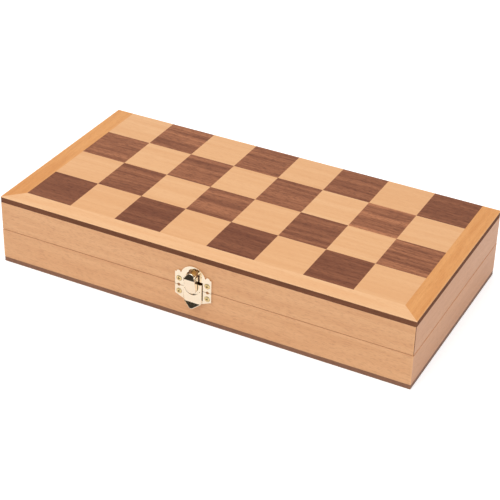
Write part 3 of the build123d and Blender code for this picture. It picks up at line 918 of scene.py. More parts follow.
@dataclass
class Joinery:
    """The two halves' boards and walls, with softened edges."""

    box: BoxSpace
    rim_round: float = 0.32
    mitre_round: float = 0.34
    foot_edge_height: float = 3.9
    panel_round: float = 0.45
    veneer_round: float = 0.22

    def build(self) -> None:
        """Builds the walls, panels and veneers of both halves."""
        for half in ("base", "lid"):
            self.walls(half)
            self.panel(half)
            self.squares(half)
            self.borders(half)

    def walls(self, half: str) -> None:
        """Rounds the rims of one half's walls, and the lid's open mitres."""
        along, across = (FRONT_BEECH, FRONT_RIM), (SIDE_BEECH, RAW_RIM)
        sides = {"front": along, "back": along, "left": across, "right": across}
        seam = self.box.middle[2]

        def at_rim(place: Vector) -> bool:
            """Chooses the edges round the rim."""
            return abs(place.z - seam) < 0.3

        def at_mitre(place: Vector) -> bool:
            """Chooses the upright edges at the box's corners."""
            return self.at_corner(place) and not at_rim(place)

        def on_rim(middle: Vector, way: Vector) -> bool:
            """Chooses the narrow faces round the rim."""
            return abs(middle.z - seam) < self.rim_round + NEAR and 0.1 < abs(way.z) < 0.97

        def on_mitre(middle: Vector, way: Vector) -> bool:
            """Chooses the narrow faces down the mitres."""
            near = all(abs(a) > b - 1 for a, b in zip(middle.to_2d(), self.box.half_size))
            return near and abs(way.z) < 0.1 and min(abs(way.x), abs(way.y)) > 0.1

        for side, (wood, rim) in sides.items():
            node = f"{half}_{side}_wall"
            work = Work.softened(node, self.rim_round, at_rim)
            if half == "lid":
                work.round_edges(self.mitre_round, at_mitre).mark(2, on_mitre)
            work.dress(self.box, wood, rim, CORE).mark(1, on_rim)
            work.set_down(f"{node}_softened", Matrix(), half, "beech_wall", [node])

    def at_corner(self, place: Vector) -> bool:
        """Says whether a place is on one of the box's upright corners."""
        reach = self.box.half_size
        return abs(place.x) > reach[0] - NEAR and abs(place.y) > reach[1] - NEAR

    def panel(self, half: str) -> None:
        """Rounds the corners of one half's core, whose edge is stained, in the base only below a line."""
        node = f"{half}_panel"
        work = Work.softened(node, self.panel_round, self.at_corner)
        if half == "lid":
            work.dress(self.box, CORE)
        else:
            line = self.foot_edge_height
            work.slice((0, 0, line), (0, 0, 1)).dress(self.box, FOOT_EDGE, FRONT_BEECH, SIDE_BEECH)
            work.mark(1, lambda middle, way: middle.z > line and abs(way.y) > 0.7)
            work.mark(2, lambda middle, way: middle.z > line and abs(way.x) > 0.7)
        work.set_down(f"{node}_softened", Matrix(), half, "stained_core", [node])

    def squares(self, half: str) -> None:
        """Finishes one half's squares where they lie."""
        veneers = (("dark", DARK_VENEER, "walnut_veneer"), ("light", PALE_VENEER, "beech_veneer"))
        for shade, wood, slot in veneers:
            node = bpy.data.objects[f"{half}_{shade}_squares"]
            node.data.materials.clear()
            node.data.materials.append(wood.on(self.box))

    def borders(self, half: str) -> None:
        """Cuts one half's three mitred strips, whose sides have their grain across."""
        node = f"{half}_border_strips"
        low, high = both(*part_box(node))
        (x_out, y_out), (x_in, y_in) = (high.x, low.y), (-self.box.corner[0], self.box.corner[1])
        front = [(-x_out, y_out), (x_out, y_out), (x_in, y_in), (-x_in, y_in)]
        right = [(x_out, y_out), (x_out, high.y), (x_in, high.y), (x_in, y_in)]
        left = [(-x, y) for x, y in right]
        face = low.z if half == "base" else high.z

        def outermost(place: Vector, reach: float) -> bool:
            """Chooses what lies at the outermost sides."""
            return abs(place.x) > x_out - reach or place.y < y_out + reach

        strips = []
        for corners, wood in ((front, FRONT_BORDER), (right, SIDE_BORDER), (left, SIDE_BORDER)):
            strip = Work.prism([(x, y, low.z) for x, y in corners], (0, 0, high.z - low.z))
            strip.round_edges(self.veneer_round, lambda p: abs(p.z - face) < NEAR and outermost(p, NEAR))
            strip.dress(self.box, wood, FOOT_EDGE)
            if half == "base":
                strip.mark(1, lambda middle, way: outermost(middle, 0.3) and abs(way.z) < 0.95)
            strips.append(strip)
        work = strips[0].keep_beside(*strips[1:])
        work.set_down(f"{node}_mitred", Matrix(), half, "border_veneer", [node])


# The latch, with X along the wall, Y up from the seam and Z out from the wall


@dataclass
class Latch:
    """A snap latch of pressed brass: a keeper plate, a catch plate and a sprung tongue."""

    box: BoxSpace
    sheet: float = 1.0
    half_width: float = 15.5
    ear_top: float = 11.2
    ear_bottom: float = -8.0
    seam_half: float = 0.2
    arch_radius: float = 10.6
    arch_centre: float = 8.5
    lobe_radius: float = 1.75
    lobe_offset: float = 12.4
    window_half: float = 4.0
    window_top: float = 17.2
    notch_half: float = 8.2
    notch_top: float = 7.4
    seam_notch_offset: float = 12.2
    seam_notch_radius: float = 1.25
    screw_offset: float = 12.0
    screw_height: float = 5.6
    screw_hole: float = 2.35
    pin_height: float = 10.5
    pin_proud: float = 3.9
    pin_radius: float = 0.75
    pin_half: float = 5.0
    pin_play: float = 0.05
    cheek_nose: float = 1.9
    cheek_root: float = 3.1
    cheek_sheet: float = 0.8
    cheek_shade: float = 2.4
    nose_half: float = 7.8
    nose_top: float = 5.8
    nose_proud: float = 2.4
    nose_gap: float = 0.4
    slot_width: float = 0.45
    off_wall: float = 0.05
    shade_leaf_proud: float = 0.35
    shade_leaf_clear: float = 0.04
    groove_inner: float = 5.5
    groove_outer: float = 6.35
    groove_depth: float = 0.45
    groove_top: float = -2.2
    ridge_foot: float = -0.3
    ridge_radius: float = 7.1
    ridge_proud: float = 0.42
    lip_crease: float = -11.7
    lip_crease_half: float = 7.2
    lip_run: float = 4.9
    lip_turn: float = 31.4
    lip_tip_radius: float = 3.2
    lip_tip_start: float = -51.1
    rim_round: float = 0.4
    tongue_half: float = 4.55
    tongue_tip: float = -2.8
    tongue_tip_proud: float = 4.4
    tongue_crease: float = 10.8
    tongue_crease_proud: float = 7.5
    tongue_top: float = 15.3
    tongue_top_proud: float = 5.2
    tongue_crown_radius: float = 3.9
    tongue_sheet: float = 0.6
    tongue_back: float = 2.95
    tongue_skirt_end: float = 8.2
    tongue_skirt_proud: float = 5.95
    tongue_round: float = 0.5
    room_bend: float = 11.8
    room_top: float = 17.0
    hub_radius: float = 3.3
    hub_side: float = 3.88
    edge_round: float = 0.2
    spring_sheet: float = 0.3
    spring_half: float = 2.0
    spring_top: float = 18.6
    spring_bend: float = 12.3
    spring_bend_radius: float = 0.75
    spring_tip: Point = (-2.0, 13.05, 4.4)

    def placement(self) -> Matrix:
        """Where the latch's own frame lies on the front wall."""
        low, high = both(*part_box("latch_keeper_plate"))
        middle = (low.x + high.x) / 2
        wall_face = self.box.middle[1] - self.box.half_size[1]
        return Matrix(
            ((1, 0, 0, middle), (0, 0, -1, wall_face), (0, 1, 0, self.box.middle[2]), (0, 0, 0, 1))
        )

    def build(self) -> None:
        """Builds the latch's pieces on the front wall."""
        spot = self.placement()
        for work, name, body, node, smooth_below, even in (
            (self.keeper(), "keeper_plate", "lid", "latch_keeper_plate", 40.0, True),
            (self.catch(), "catch_plate", "base", "latch_catch_plate", 40.0, True),
            (self.tongue(), "snap_tongue", "latch_tongue", "latch_tongue", 24.0, False),
            (self.pin(), "tongue_pin", "lid", "latch_pin", 32.0, True),
        ):
            work.set_down(name, spot, body, "latch_brass", [node], smooth_below, even)
        spring = self.spring().set_down("leaf_spring", spot, "lid", "spring_steel", ["latch_spring"])
        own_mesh(spring)

    def bars(
        self, radius: float, offset: float, height: float, low: float, high: float, sides: int
    ) -> list[Work]:
        """A pair of round bars that stand out from the wall.

        Args:
            radius: Their radius.
            offset: How far each is from the middle.
            height: How high above the seam they are.
            low: Where they start.
            high: Where they end.
            sides: How many flats each has.

        Returns:
            The left one and the right one.
        """
        places = [(side * offset, height) for side in SIDES]
        return [Work.bar(radius, (*place, low), (*place, high), sides) for place in places]

    def drill(self, plate: Work, height: float) -> None:
        """Bores a screw hole through each ear, and the round notches where the ears meet."""
        reach = (-self.sheet, 2 * self.sheet)
        plate.cut(*self.bars(self.screw_hole, self.screw_offset, height, *reach, 48))
        plate.cut(*self.bars(self.seam_notch_radius, self.seam_notch_offset, 0.0, *reach, 32))

    def keeper(self) -> Work:
        """The upper plate: ears, an arch round a window, and two cheeks for the pin."""
        sheet, deep, arch = self.sheet, 2 * self.sheet, (0, self.arch_centre)
        plate = Work.block((-self.half_width, self.seam_half, 0), (self.half_width, self.ear_top, sheet))
        plate.add_on(Work.bar(self.arch_radius, (*arch, 0), (*arch, sheet), 96))
        plate.add_on(*self.bars(self.lobe_radius, self.lobe_offset, self.ear_top, 0, sheet, 40))
        window = (0, self.window_top - self.window_half)
        plate.cut(Work.block((-self.window_half, -deep, -deep), (self.window_half, window[1], deep)))
        plate.cut(Work.bar(self.window_half, (*window, -deep), (*window, deep)))
        plate.cut(Work.block((-self.notch_half, -deep, -deep), (self.notch_half, self.notch_top, deep)))
        self.drill(plate, self.screw_height)
        plate.ease(self.edge_round).dress(self.box, LATCH_BRASS)
        return plate.keep_beside(*[self.cheek(side) for side in SIDES])

    def cheek(self, side: int) -> Work:
        """An ear bent out beside the window, bored for the pin, with painted shade on its part nearest the
        plate.
        """
        inner = side * self.window_half
        outer = inner + side * self.cheek_sheet
        profile = [(inner, self.pin_height + way * self.cheek_root, 0) for way in SIDES]
        sweep = arc((self.pin_height, self.pin_proud), self.cheek_nose, -20, 200, 20)
        profile += [(inner, a, b) for a, b, _ in sweep]
        cheek = Work.prism(profile, (outer - inner, 0, 0))
        cheek.cut(self.bore(inner - side, outer + side)).ease(0.14, whole, 2)
        # Below this height the cheek gets painted shade, a dark band beside the tongue.
        cheek.slice((0, 0, self.cheek_shade), (0, 0, 1)).dress(self.box, LATCH_BRASS, PAINTED_SHADE_BRASS)
        return cheek.mark(1, lambda middle, _: middle.z < self.cheek_shade)

    def bore(self, start: float, end: float) -> Work:
        """The bar that makes room for the pin between two places across the latch."""
        at = (self.pin_height, self.pin_proud)
        return Work.bar(self.pin_radius + self.pin_play, (start, *at), (end, *at), 32)

    def catch(self) -> Work:
        """The lower plate: ears, a raised middle that passes the seam, and a flared lip."""
        top, bottom, crease = -self.seam_half, self.ear_bottom, self.lip_crease
        wide, narrow = self.half_width, self.lip_crease_half
        ears = [(-wide, top), (wide, top), (wide, bottom), (narrow, crease)]
        ears += [(-narrow, crease), (-wide, bottom)]
        plate = Work.prism([(x, y, 0) for x, y in ears], (0, 0, self.sheet))
        self.drill(plate, -self.screw_height)
        for inner, outer in self.slots(0.0):
            plate.cut(Work.block((inner, bottom - 0.6, -1), (outer, 1, 2 * self.sheet)))
        plate.ease(self.edge_round).dress(self.box, LATCH_BRASS)
        # The groove's faces get painted shade, a dark line under the tongue's tip.
        nose = self.grooved(self.raised_middle()).dress(self.box, LATCH_BRASS, PAINTED_SHADE_BRASS)
        plate.keep_beside(nose.mark(1, self.in_groove), self.rest_ridge().dress(self.box, LATCH_BRASS))
        # Leaves of painted shade sit behind the raised middle and show in the slots beside it.
        return plate.keep_beside(*[leaf.dress(self.box, PAINTED_SHADE_BRASS) for leaf in self.shade_leaves()])

    def slots(self, clear: float) -> list[tuple[float, float]]:
        """The inner and outer sides of the slots beside the raised middle, less a clearance."""
        inner, outer = self.nose_half + clear, self.nose_half + self.slot_width - clear
        return [(-outer, -inner), (inner, outer)]

    def shade_leaves(self) -> list[Work]:
        """The leaf of painted shade behind the raised middle, and what shows of it in the two slots."""
        back, front, clear = self.off_wall, self.shade_leaf_proud, self.shade_leaf_clear
        reach = self.nose_half + self.slot_width - clear
        leaves = [Work.block((-reach, 0.0, back), (reach, self.notch_top - 0.1, front))]
        for inner, outer in self.slots(clear):
            leaves.append(Work.block((inner, self.ear_bottom - 0.5, back), (outer, -clear, front)))
        return [leaf.round_edges(0.02, whole, 1) for leaf in leaves]

    def half_ring(self, inner: float, outer: float, low: float, high: float) -> Work:
        """A half ring below the middle of the tongue's round tip.

        Args:
            inner: Its inner radius.
            outer: Its outer radius.
            low: Where it starts out from the wall.
            high: Where it ends.

        Returns:
            The half ring.
        """
        centre = self.tongue_tip + self.tongue_half
        ring = Work.bar(outer, (0, centre, low), (0, centre, high), 72)
        ring.cut(Work.bar(inner, (0, centre, low - 1), (0, centre, high + 1), 72))
        return ring.trim((0, centre + self.groove_top, 0), (0, 1, 0)).tidy()

    def grooved(self, nose: Work) -> Work:
        """Sinks the groove that the tongue's tip snaps into."""
        low = self.nose_proud - self.groove_depth
        return nose.cut(self.half_ring(self.groove_inner, self.groove_outer, low, self.nose_proud + 1))

    def in_groove(self, place: Vector, way: Vector) -> bool:
        """Says whether a face is one of the groove's, which get painted shade."""
        out = math.hypot(place.x, place.y - self.tongue_tip - self.tongue_half)
        floor = self.nose_proud - self.groove_depth
        inside = floor - NEAR < place.z < self.nose_proud - 0.02 and (way.z < 0.5 or place.z < floor + NEAR)
        return inside and self.groove_inner - 0.1 < out < self.groove_outer + 0.1

    def rest_ridge(self) -> Work:
        """The pressed ridge round the groove."""
        low, high = self.nose_proud + self.ridge_foot, self.nose_proud + self.ridge_proud
        ridge = self.half_ring(self.groove_outer, self.ridge_radius, low, high)
        return ridge.round_edges(0.3, self.front_edge, 4)

    def raised_middle(self) -> Work:
        """The raised middle with its lip, pressed from the same sheet."""
        half, bottom = self.nose_half, self.ear_bottom
        narrow, crease = self.lip_crease_half, self.lip_crease
        low, back = self.nose_gap, self.nose_proud - self.sheet
        front = [(-half, self.nose_top), (half, self.nose_top), (half, bottom), (narrow, crease)]
        front += [(-narrow, crease), (-half, bottom)]
        nose = Work.prism([(x, y, low) for x, y in front], (0, 0, self.nose_proud - low))
        start, radius = self.lip_tip_start, self.lip_tip_radius
        tip = arc((0, radius - self.lip_run), radius, start, -180 - start, 14, back)
        lip = Work.prism([(-narrow, 0, back), (narrow, 0, back), *tip], (0, 0, self.sheet))
        hinge = shift(0, crease, self.nose_proud)
        nose.add_on(lip.move(hinge @ turn(-self.lip_turn, "X") @ shift(0, 0, -self.nose_proud)))

        def rim(place: Vector) -> bool:
            """Chooses the edges in front, apart from the crease of the lip."""
            at_crease = abs(place.y - crease) < 0.1 and abs(place.x) < narrow - 0.3
            return self.front_edge(place) and not at_crease

        return nose.ease(self.rim_round, rim, 4, 20.0)

    def front_edge(self, place: Vector) -> bool:
        """Chooses edges that stand out from the wall."""
        return place.z > self.sheet + 0.1

    def tongue(self) -> Work:
        """The domed tongue, a pressed skin with two hubs on the pin."""
        half, crown, low = self.tongue_half, self.tongue_crown_radius, self.tongue_back
        tip, crease, top = self.tongue_tip, self.tongue_crease, self.tongue_top
        proud = self.tongue_crease_proud
        rise, fall = proud - self.tongue_tip_proud, proud - self.tongue_top_proud
        outline = arc((0, tip + half), half, -180, 0, 32, low) + [(half, crease, low)]
        outline += arc((0, top - crown), crown, 20, 160, 18, low) + [(-half, crease, low)]
        skin = Work.prism(outline, (0, 0, 2 * proud))
        skin.trim((0, tip, self.tongue_tip_proud), (0, -rise, crease - tip))
        skin.trim((0, crease, proud), (0, fall, top - crease))
        start, wide = self.tongue_skirt_end, half + 1
        room = [(start, 0), (start, self.tongue_skirt_proud), (self.room_bend, self.tongue_skirt_proud)]
        room += [(self.room_top, self.pin_proud), (self.room_top, 0)]
        skin.cut(Work.prism([(-wide, a, b) for a, b in room], (2 * wide, 0, 0)))
        skin.tidy().flatten()

        def around_front(place: Vector) -> bool:
            """Chooses the front's outline but not the crease across it."""
            above = place.y - crease
            front = proud + (rise / (crease - tip) if above < 0 else -fall / (top - crease)) * above
            return abs(place.z - front) < 0.12 and not (abs(above) < 0.1 and abs(place.x) < half - 1)

        def behind(face: bpy.types.MeshPolygon) -> bool:
            """Chooses the back and the end of the skirt, which are open."""
            return face.normal.z < -0.3 or (face.normal.y > 0.9 and abs(face.center.y - start) < 0.1)

        skin.round_edges(self.tongue_round, around_front, 5, 28.0).choose("FACE", behind)
        bpy.ops.mesh.delete(type="FACE")
        skin.close().wall(self.tongue_sheet)
        at = (self.pin_height, self.pin_proud)
        for side in SIDES:
            inner, outer = side * (self.hub_side - self.tongue_sheet), side * self.hub_side
            hub = Work.bar(self.hub_radius, (inner, *at), (outer, *at), 48)
            hub.cut(self.bore(inner - side, outer + side)).tidy()
            skin.keep_beside(hub.round_edges(0.12, whole, 2))
        return skin.dress(self.box, LATCH_BRASS)

    def pin(self) -> Work:
        """The tongue's pin, a round bar whose rounded ends stand just past the cheeks."""
        at = (self.pin_height, self.pin_proud)
        pin = Work.bar(self.pin_radius, (-self.pin_half, *at), (self.pin_half, *at), 32)
        return pin.round_edges(0.22).dress(self.box, LATCH_BRASS)

    def spring(self) -> Work:
        """A hairpin leaf, tucked under the arch, that bears on the tongue from behind."""
        half, seat, radius = self.spring_half, self.off_wall, self.spring_bend_radius
        bend = arc((self.spring_bend, seat + radius), radius, -90, -230, 10)
        bent = [(-half, a, b) for a, b, _ in bend]
        leaf = Work.line([(-half, self.spring_top, seat), *bent, self.spring_tip])
        leaf.pull((2 * half, 0, 0), "EDGE").wall(self.spring_sheet)
        return leaf.tidy().dress(self.box, SPRING_STEEL)


# Screws and hinges


@dataclass
class Fixings:
    """Brass wood screws with cross recesses, and the two butt hinges."""

    box: BoxSpace
    latch: Latch
    hinge_screws_at: tuple[float, ...] = (-121.0, -103.0, 103.0, 121.0)
    latch_head: float = 2.2
    latch_head_rise: float = 0.65
    latch_dome: float = 5.0
    recess_depth: float = 0.65
    screw_sides: int = 40
    hinge_inset: float = 2.2
    rim_gap: float = 0.1

    def build(self) -> None:
        """Builds the screws, the hinges and their pins."""
        for half, way in (("base", -1), ("lid", 1)):
            node = f"{half}_screws"
            screws = self.hinge_screws(half, way) + self.latch_screws(way)
            # The second finish is painted shade inside the screws' cross recesses.
            group, *others = [screw.dress(self.box, SCREW_BRASS, PAINTED_SHADE_BRASS) for screw in screws]
            group.keep_beside(*others)
            group.set_down(f"{node}_cross_head", Matrix(), half, "screw_brass", [node], 35.0)
            self.soften(f"{half}_hinge_leaves", half, 0.14)
        self.soften("hinge_pins", "base", 0.2)

    def soften(self, node: str, body: str, width: float) -> None:
        """Rounds the edges of one of the hinges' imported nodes."""
        work = Work.softened(node, width, whole, 2).dress(self.box, HINGE_BRASS)
        work.set_down(f"{node}_softened", Matrix(), body, "hinge_brass", [node])

    def recess(self, screw: Work, level: float, reach: float, wide: float = 0.46) -> Work:
        """Sinks a cross recess into a screw's head, and paints shade on its inside.

        Args:
            screw: The screw.
            level: The height of its head.
            reach: How far the cross goes from the middle.
            wide: How wide its arms are.

        Returns:
            The screw.
        """
        low = level - self.recess_depth
        for angle in (0, 90):
            screw.cut(Work.block((-reach, -wide / 2, low), (reach, wide / 2, level + 2)).move(turn(angle)))

        def sunk(middle: Vector, _: Vector) -> bool:
            """Chooses the faces inside the recess, which get painted shade."""
            return low - NEAR < middle.z < level - 0.2 and middle.to_2d().length < reach + NEAR

        return screw.mark(1, sunk)

    def round_head(self) -> Work:
        """A low-domed screw, sunk in a plate whose face is at height 0."""
        head, sheet, dome = self.latch_head, self.latch.sheet, self.latch_dome
        last = math.degrees(math.acos((head - 0.05) / dome))
        sweep = arc((0, self.latch_head_rise - dome), dome, 90, last, 6)
        line = [(x, 0.0, y) for x, y, _ in sweep]
        line += [(head, 0.0, 0.06), (head, 0.0, 0.05 - sheet), (0.8, 0.0, 0.02 - sheet)]
        line += [(0.8, 0.0, -3.0), (0.0, 0.0, -6.9)]
        return self.recess(Work.line(line).spin(self.screw_sides), self.latch_head_rise, 1.2, 0.5)

    def flat_head(self) -> Work:
        """A countersunk screw whose head ends at height 0."""
        line = [(0, 0, 0), (1.55, 0, 0), (1.7, 0, -0.12), (0.9, 0, -0.85), (0.9, 0, -5.0), (0, 0, -11.0)]
        return self.recess(Work.line(line).spin(self.screw_sides), 0.0, 0.95)

    def latch_screws(self, way: int) -> list[Work]:
        """The two screws of one latch plate."""
        latch, screws = self.latch, []
        for side in SIDES:
            at = shift(side * latch.screw_offset, way * latch.screw_height, latch.sheet)
            spot = latch.placement() @ at @ turn(24 + 31 * side + 17 * way)
            screws.append(self.round_head().move(spot))
        return screws

    def hinge_screws(self, half: str, way: int) -> list[Work]:
        """The four screws of one half's hinge leaves."""
        low, _ = both(*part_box(f"{half}_hinge_leaves"))
        rim = self.box.middle[2] + way * self.rim_gap
        y = low.y + (self.box.half_size[1] - self.hinge_inset - low.y) / 2
        flip = turn(180, "X") if way > 0 else Matrix()
        places = enumerate(self.hinge_screws_at)
        return [self.flat_head().move(shift(x, y, rim) @ flip @ turn(20 + 50 * n)) for n, x in places]


# Chessmen


FELT_DISC = 0.5
FOOT_RIM = 3.2
FOOT_SHOULDER = 5.4


class Turning:
    """A lathe profile drawn from the foot up, in shares of the foot's radius and the height."""

    def __init__(self, radius: float, height: float) -> None:
        """Draws the felt, rim, step and shoulder that every chessman stands on."""
        self.radius = radius
        self.height = height
        self.points: list[Point] = [(0.0, 0.0, 0.0)]
        felt, rim, shoulder = FELT_DISC / height, FOOT_RIM / height, FOOT_SHOULDER / height
        self.follow((0.88, 0.0), (0.88, felt), (0.93, felt), (0.93, rim, 0.20, 8), (0.86, rim * 1.04))
        self.follow((0.78, shoulder, 0.16, 6))

    def follow(self, *stations: Sequence[float]) -> Turning:
        """Goes through places given as out and up, and curves there if a bulge and steps follow."""
        for out, up, *bend in stations:
            end = Vector((out * self.radius, 0.0, up * self.height))
            if bend:
                self.curve(end, *bend)
            else:
                self.points.append((out * self.radius, 0.0, up * self.height))
        return self

    def curve(self, end: Vector, bulge: float, steps: int) -> None:
        """Curves to a place.

        Args:
            end: The place.
            bulge: How far it bulges, as a share of the chord, or inwards if it is below 0.
            steps: How many chords it has.
        """
        start = Vector(self.points[-1])
        chord = end - start
        control = (start + end) / 2 + Vector((chord.z, 0.0, -chord.x)) * 2 * bulge
        for step in range(1, steps + 1):
            t = step / steps
            place = start * (1 - t) ** 2 + control * 2 * t * (1 - t) + end * t**2
            self.points.append(tuple(place))

    def ball(self, size: float, first_angle: float, steps: int = 8) -> Turning:
        """Ends at the top in a ball, whose size is a share of the radius."""
        centre, radius = (1 - size * self.radius / self.height) * self.height, size * self.radius
        for x, y, _ in arc((0, centre), radius, first_angle, 90, steps):
            self.points.append((max(x, 0.0), 0.0, y))
        self.points[-1] = (0.0, 0.0, self.points[-1][2])
        return self

    def spun(self) -> Work:
        """The turned piece."""
        return Work.line(self.points).spin(56)


class Kind(Enum):
    """The six kinds of chessman."""

    KING = "king"
    QUEEN = "queen"
    BISHOP = "bishop"
    KNIGHT = "knight"
    ROOK = "rook"
    PAWN = "pawn"


@dataclass
class ChessmanShop:
    """Turns each kind of chessman once, upright with its foot at the origin."""

    radius: float
    height: float

    def make(self, kind: Kind) -> Work:
        """One chessman of a kind."""
        return getattr(self, kind.value)()

    def turned(self, *stations: Sequence[float]) -> Turning:
        """A profile with the common foot."""
        return Turning(self.radius, self.height).follow(*stations)

    def pawn(self) -> Work:
        """A ball on a collared stem."""
        stem, collar = (0.33, 0.545, -0.13, 9), (0.60, 0.575, 0.05, 3)
        profile = self.turned((0.70, 0.165), stem, collar, (0.56, 0.600, 0.35, 4), (0.31, 0.625, -0.05, 3))
        return profile.ball(0.57, -55, 14).spun()

    def rook(self) -> Work:
        """A tower with a sunk top and battlements."""
        profile = self.turned((0.70, 0.145), (0.50, 0.66, -0.08, 9), (0.62, 0.675, 0.3, 4), (0.60, 0.70))
        profile.follow((0.76, 0.76, -0.2, 5), (0.76, 0.985), (0.745, 1.0), (0.52, 1.0), (0.50, 0.985))
        tower = profile.follow((0.50, 0.88), (0.0, 0.875)).spun()
        half, low, high = 0.11 * self.radius, 0.905 * self.height, 1.1 * self.height
        for angle in (0, 90):
            slot = Work.block((-2 * self.radius, -half, low), (2 * self.radius, half, high))
            tower.cut(slot.move(turn(angle)))
        return tower.tidy(0.002)

    def bishop(self) -> Work:
        """A slit mitre with a small ball on top."""
        radius, height = self.radius, self.height
        stem, collar = (0.33, 0.54, -0.12, 9), (0.62, 0.560, 0.05, 3)
        profile = self.turned((0.68, 0.115), stem, collar, (0.60, 0.580, 0.4, 4), (0.32, 0.605, -0.08, 3))
        head = profile.follow((0.52, 0.740, 0.10, 6), (0.14, 0.925, 0.10, 8)).ball(0.17, -52).spun()
        slit = Work.block((-0.05 * radius, -radius, -0.10 * height), (0.05 * radius, radius, 0.11 * height))
        slit.move(shift(0.40 * radius, 0, 0.83 * height) @ turn(35, "Y"))
        return head.cut(slit).tidy(0.002)

    def queen(self) -> Work:
        """A notched coronet with a ball in it."""
        stem, collar = (0.34, 0.575, -0.11, 9), (0.64, 0.590, 0.05, 3)
        profile = self.turned((0.68, 0.10), stem, collar, (0.62, 0.612, 0.4, 4), (0.36, 0.630, -0.05, 3))
        profile.follow((0.62, 0.885, -0.10, 8), (0.58, 0.895), (0.44, 0.885, -0.1, 3))
        body = profile.follow((0.14, 0.940, 0.22, 6)).ball(0.20, -50).spun()
        points, rim, level = 8, 0.62 * self.radius, 0.905 * self.height
        for step in range(points):
            notch = Work.bar(0.13 * self.radius, (rim * 0.66, 0, level), (rim * 1.4, 0, level), 20)
            body.cut(notch.move(turn(360 * (step + 0.5) / points)))
        return body.tidy(0.002)

    def king(self) -> Work:
        """A flared crown with a plain cross."""
        stem, collar = (0.36, 0.555, -0.11, 9), (0.66, 0.570, 0.05, 3)
        profile = self.turned((0.68, 0.09), stem, collar, (0.64, 0.592, 0.4, 4), (0.38, 0.610, -0.05, 3))
        profile.follow((0.62, 0.825, -0.08, 8), (0.56, 0.845, 0.3, 4), (0.20, 0.875, 0.12, 5))
        body = profile.follow((0.0, 0.886, 0.1, 3)).spun()
        arm, thick, reach = 0.04 * self.height, 1.25, 3.5
        upright = Work.block((-arm / 2, -thick, 0.87 * self.height), (arm / 2, thick, self.height))
        bar_low, bar_high = self.height - 2 * arm, self.height - arm
        upright.add_on(Work.block((-reach, -thick, bar_low), (reach, thick, bar_high)))
        return body.keep_beside(upright.ease(0.35))

    def knight(self) -> Work:
        """A horse's head on a turned foot, with ears, mane, eyes and a mouth."""
        radius, height = self.radius, self.height
        base = self.turned((0.68, 0.135), (0.62, 0.235, -0.05, 4), (0.0, 0.245)).spun()
        shares = [(-0.56, 0.22), (-0.70, 0.33), (-0.76, 0.46), (-0.75, 0.58), (-0.68, 0.70), (-0.56, 0.80)]
        shares += [(-0.42, 0.875), (-0.27, 0.925), (-0.19, 0.955), (-0.12, 1.0), (-0.02, 0.985)]
        shares += [(0.06, 0.94), (0.20, 0.885), (0.36, 0.83), (0.56, 0.765), (0.74, 0.705), (0.82, 0.65)]
        shares += [(0.80, 0.60), (0.70, 0.565), (0.58, 0.56), (0.44, 0.595), (0.28, 0.60), (0.18, 0.565)]
        shares += [(0.20, 0.50), (0.30, 0.43), (0.42, 0.35), (0.50, 0.28), (0.56, 0.22)]
        half, groove = 0.42 * radius, 0.22
        head = Work.prism([(x * radius, -half, y * height) for x, y in shares], (0, 2 * half, 0))
        head.pinch(lambda p: p.x > 0.33 * radius and p.z > 0.5 * height, 0.66)
        head.pinch(lambda p: p.x < -0.1 * radius and 0.3 * height < p.z, 0.74)
        head.pinch(lambda p: p.z > 0.93 * height, 0.8)
        head.round_edges(1.2, whole, 4, 60.0)
        head.cut(Work.block((-radius, -0.1 * radius, 0.935 * height), (radius, 0.1 * radius, 1.1 * height)))
        for share, lean in ((0.40, 8), (0.51, 0), (0.62, -12), (0.73, -28), (0.83, -44)):
            strand = Work.block((-0.5 * radius, -radius, -groove), (-0.06 * radius, radius, groove))
            out = -0.25 * radius if share < 0.7 else -0.05 * radius
            head.cut(strand.move(shift(out, 0, share * height) @ turn(-lean, "Y")))
        mouth = Work.block((0, -radius, -0.2), (0.5 * radius, radius, 0.2))
        head.cut(mouth.move(shift(0.56 * radius, 0, 0.655 * height) @ turn(24, "Y"))).tidy(0.002)
        eye = Work.bar(0.075 * radius, (0, -0.40 * radius, 0), (0, 0.40 * radius, 0), 20)
        eye.round_edges(0.05 * radius).move(shift(0.2 * radius, 0, 0.80 * height))
        return base.keep_beside(head, eye)


@dataclass
class Chessmen:
    """Both sides' chessmen, lying in their recesses."""

    box: BoxSpace
    turned_sides: int = 12

    def build(self) -> None:
        """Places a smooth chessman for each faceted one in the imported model."""
        finishes = {"light": LIGHT_MEN, "dark": DARK_MEN}
        made: dict[Kind, Work] = {}
        for node in sorted(bpy.data.objects.keys()):
            shade, _, rest = node.partition("_")
            name = rest.split("_")[0]
            if shade not in finishes or name not in [kind.value for kind in Kind]:
                continue
            kind = Kind(name)
            placement, radius, height = self.lying(node)
            if kind not in made:
                made[kind] = ChessmanShop(radius, height).make(kind)
            piece = made[kind].twin().dress(self.box, finishes[shade], FOOT_FELT)
            piece.mark(1, lambda middle, _: middle.z < 0.9 * FELT_DISC)
            piece.set_down(f"{node}_turned", placement, node, f"{shade}_chessmen", [node], 38.0, False)
        for work in made.values():
            bpy.data.objects.remove(work.body)

    def lying(self, node: str) -> tuple[Matrix, float, float]:
        """Reads where a chessman lies.

        Args:
            node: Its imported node.

        Returns:
            Its placement, foot radius and height, in millimetres.
        """
        low, high = both(*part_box(node))
        middle = (low + high) / 2
        points = [point.co / MM for point in bpy.data.objects[node].data.vertices]
        near = max(abs(p.x - middle.x) for p in points if p.y < low.y + 1)
        far = max(abs(p.x - middle.x) for p in points if p.y > high.y - 1)
        foot, angle = (low.y, 0.0) if near > far else (high.y, 180.0)
        radius = (high.z - low.z) / 2 / math.cos(math.pi / self.turned_sides)
        placement = shift(middle.x, foot, middle.z) @ turn(angle) @ turn(-90, "X")
        return placement, radius, high.y - low.y


# Tray and lining


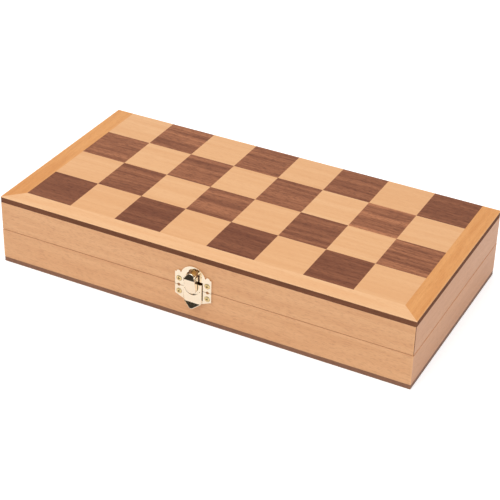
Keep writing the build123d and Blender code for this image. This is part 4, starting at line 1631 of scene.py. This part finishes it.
@dataclass
class Interior:
    """The flocked tray in the base and the felt under the lid."""

    box: BoxSpace
    recess_round: float = 0.9
    felt_thickness: float = 0.8
    felt_slack: float = 0.10

    def build(self) -> None:
        """Builds the tray and the lining."""
        self.tray()
        self.lining()

    def tray(self) -> None:
        """Rounds the edges of the tray's recesses and gives it its flock."""
        low, high = both(*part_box("piece_tray"))

        def inside(place: Vector) -> bool:
            """Chooses the edges away from the tray's own sides and bottom."""
            clear = place.z > low.z + 0.5
            in_x = low.x + 0.5 < place.x < high.x - 0.5
            in_y = low.y + 0.5 < place.y < high.y - 0.5
            return clear and in_x and in_y

        work = Work.softened("piece_tray", self.recess_round, inside).dress(self.box, GREEN_FLOCK)
        work.set_down("flocked_tray", Matrix(), "base", "flocked_tray", ["piece_tray"])

    def lining(self) -> None:
        """Lays a sheet of felt under the lid, a little slack between its glued edges."""
        low, high = both(*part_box("lid_lining"))
        Work.clear()
        wide, deep = high.x - low.x, high.y - low.y
        bpy.ops.mesh.primitive_grid_add(x_subdivisions=140, y_subdivisions=70, size=1.0)
        sheet = Work().move(Matrix.Diagonal((wide, deep, 1.0, 1.0)))
        for point in sheet.body.data.vertices:
            x, y = point.co.x, point.co.y
            slack = math.cos(math.pi * x / wide) * math.cos(math.pi * y / deep)
            ripple = math.sin(x * 0.047 + 0.8 * math.sin(y * 0.035)) * math.sin(y * 0.061 + 0.5)
            point.co.z = -self.felt_slack * max(slack, 0.0) * (1 + 0.9 * ripple)
        sheet.wall(self.felt_thickness).dress(self.box, GREEN_FELT)
        place = shift((low.x + high.x) / 2, (low.y + high.y) / 2, high.z)
        piece = sheet.set_down("felt_lining", place, "lid", "felt_lining", ["lid_lining"])


def read_box() -> BoxSpace:
    """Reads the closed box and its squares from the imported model."""
    low, high = both(*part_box("base_panel"))
    _, top = both(*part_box("lid_light_squares"))
    first, last = both(*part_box("lid_dark_squares"))
    square = (last.x - first.x) / 8
    middle = (0.0, (low.y + high.y) / 2, top.z / 2)
    half_size = ((high.x - low.x) / 2, (high.y - low.y) / 2, top.z / 2)
    return BoxSpace(middle, half_size, (first.x, first.y, 0.0), square)


def main() -> None:
    """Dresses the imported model, piece by piece."""
    logging.basicConfig(level=logging.INFO, format="%(name)s: %(message)s")
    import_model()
    Studio().build()
    box = read_box()
    Joinery(box).build()
    latch = Latch(box)
    latch.build()
    Fixings(box, latch).build()
    Interior(box).build()
    Chessmen(box).build()


if __name__ == "__main__":
    main()
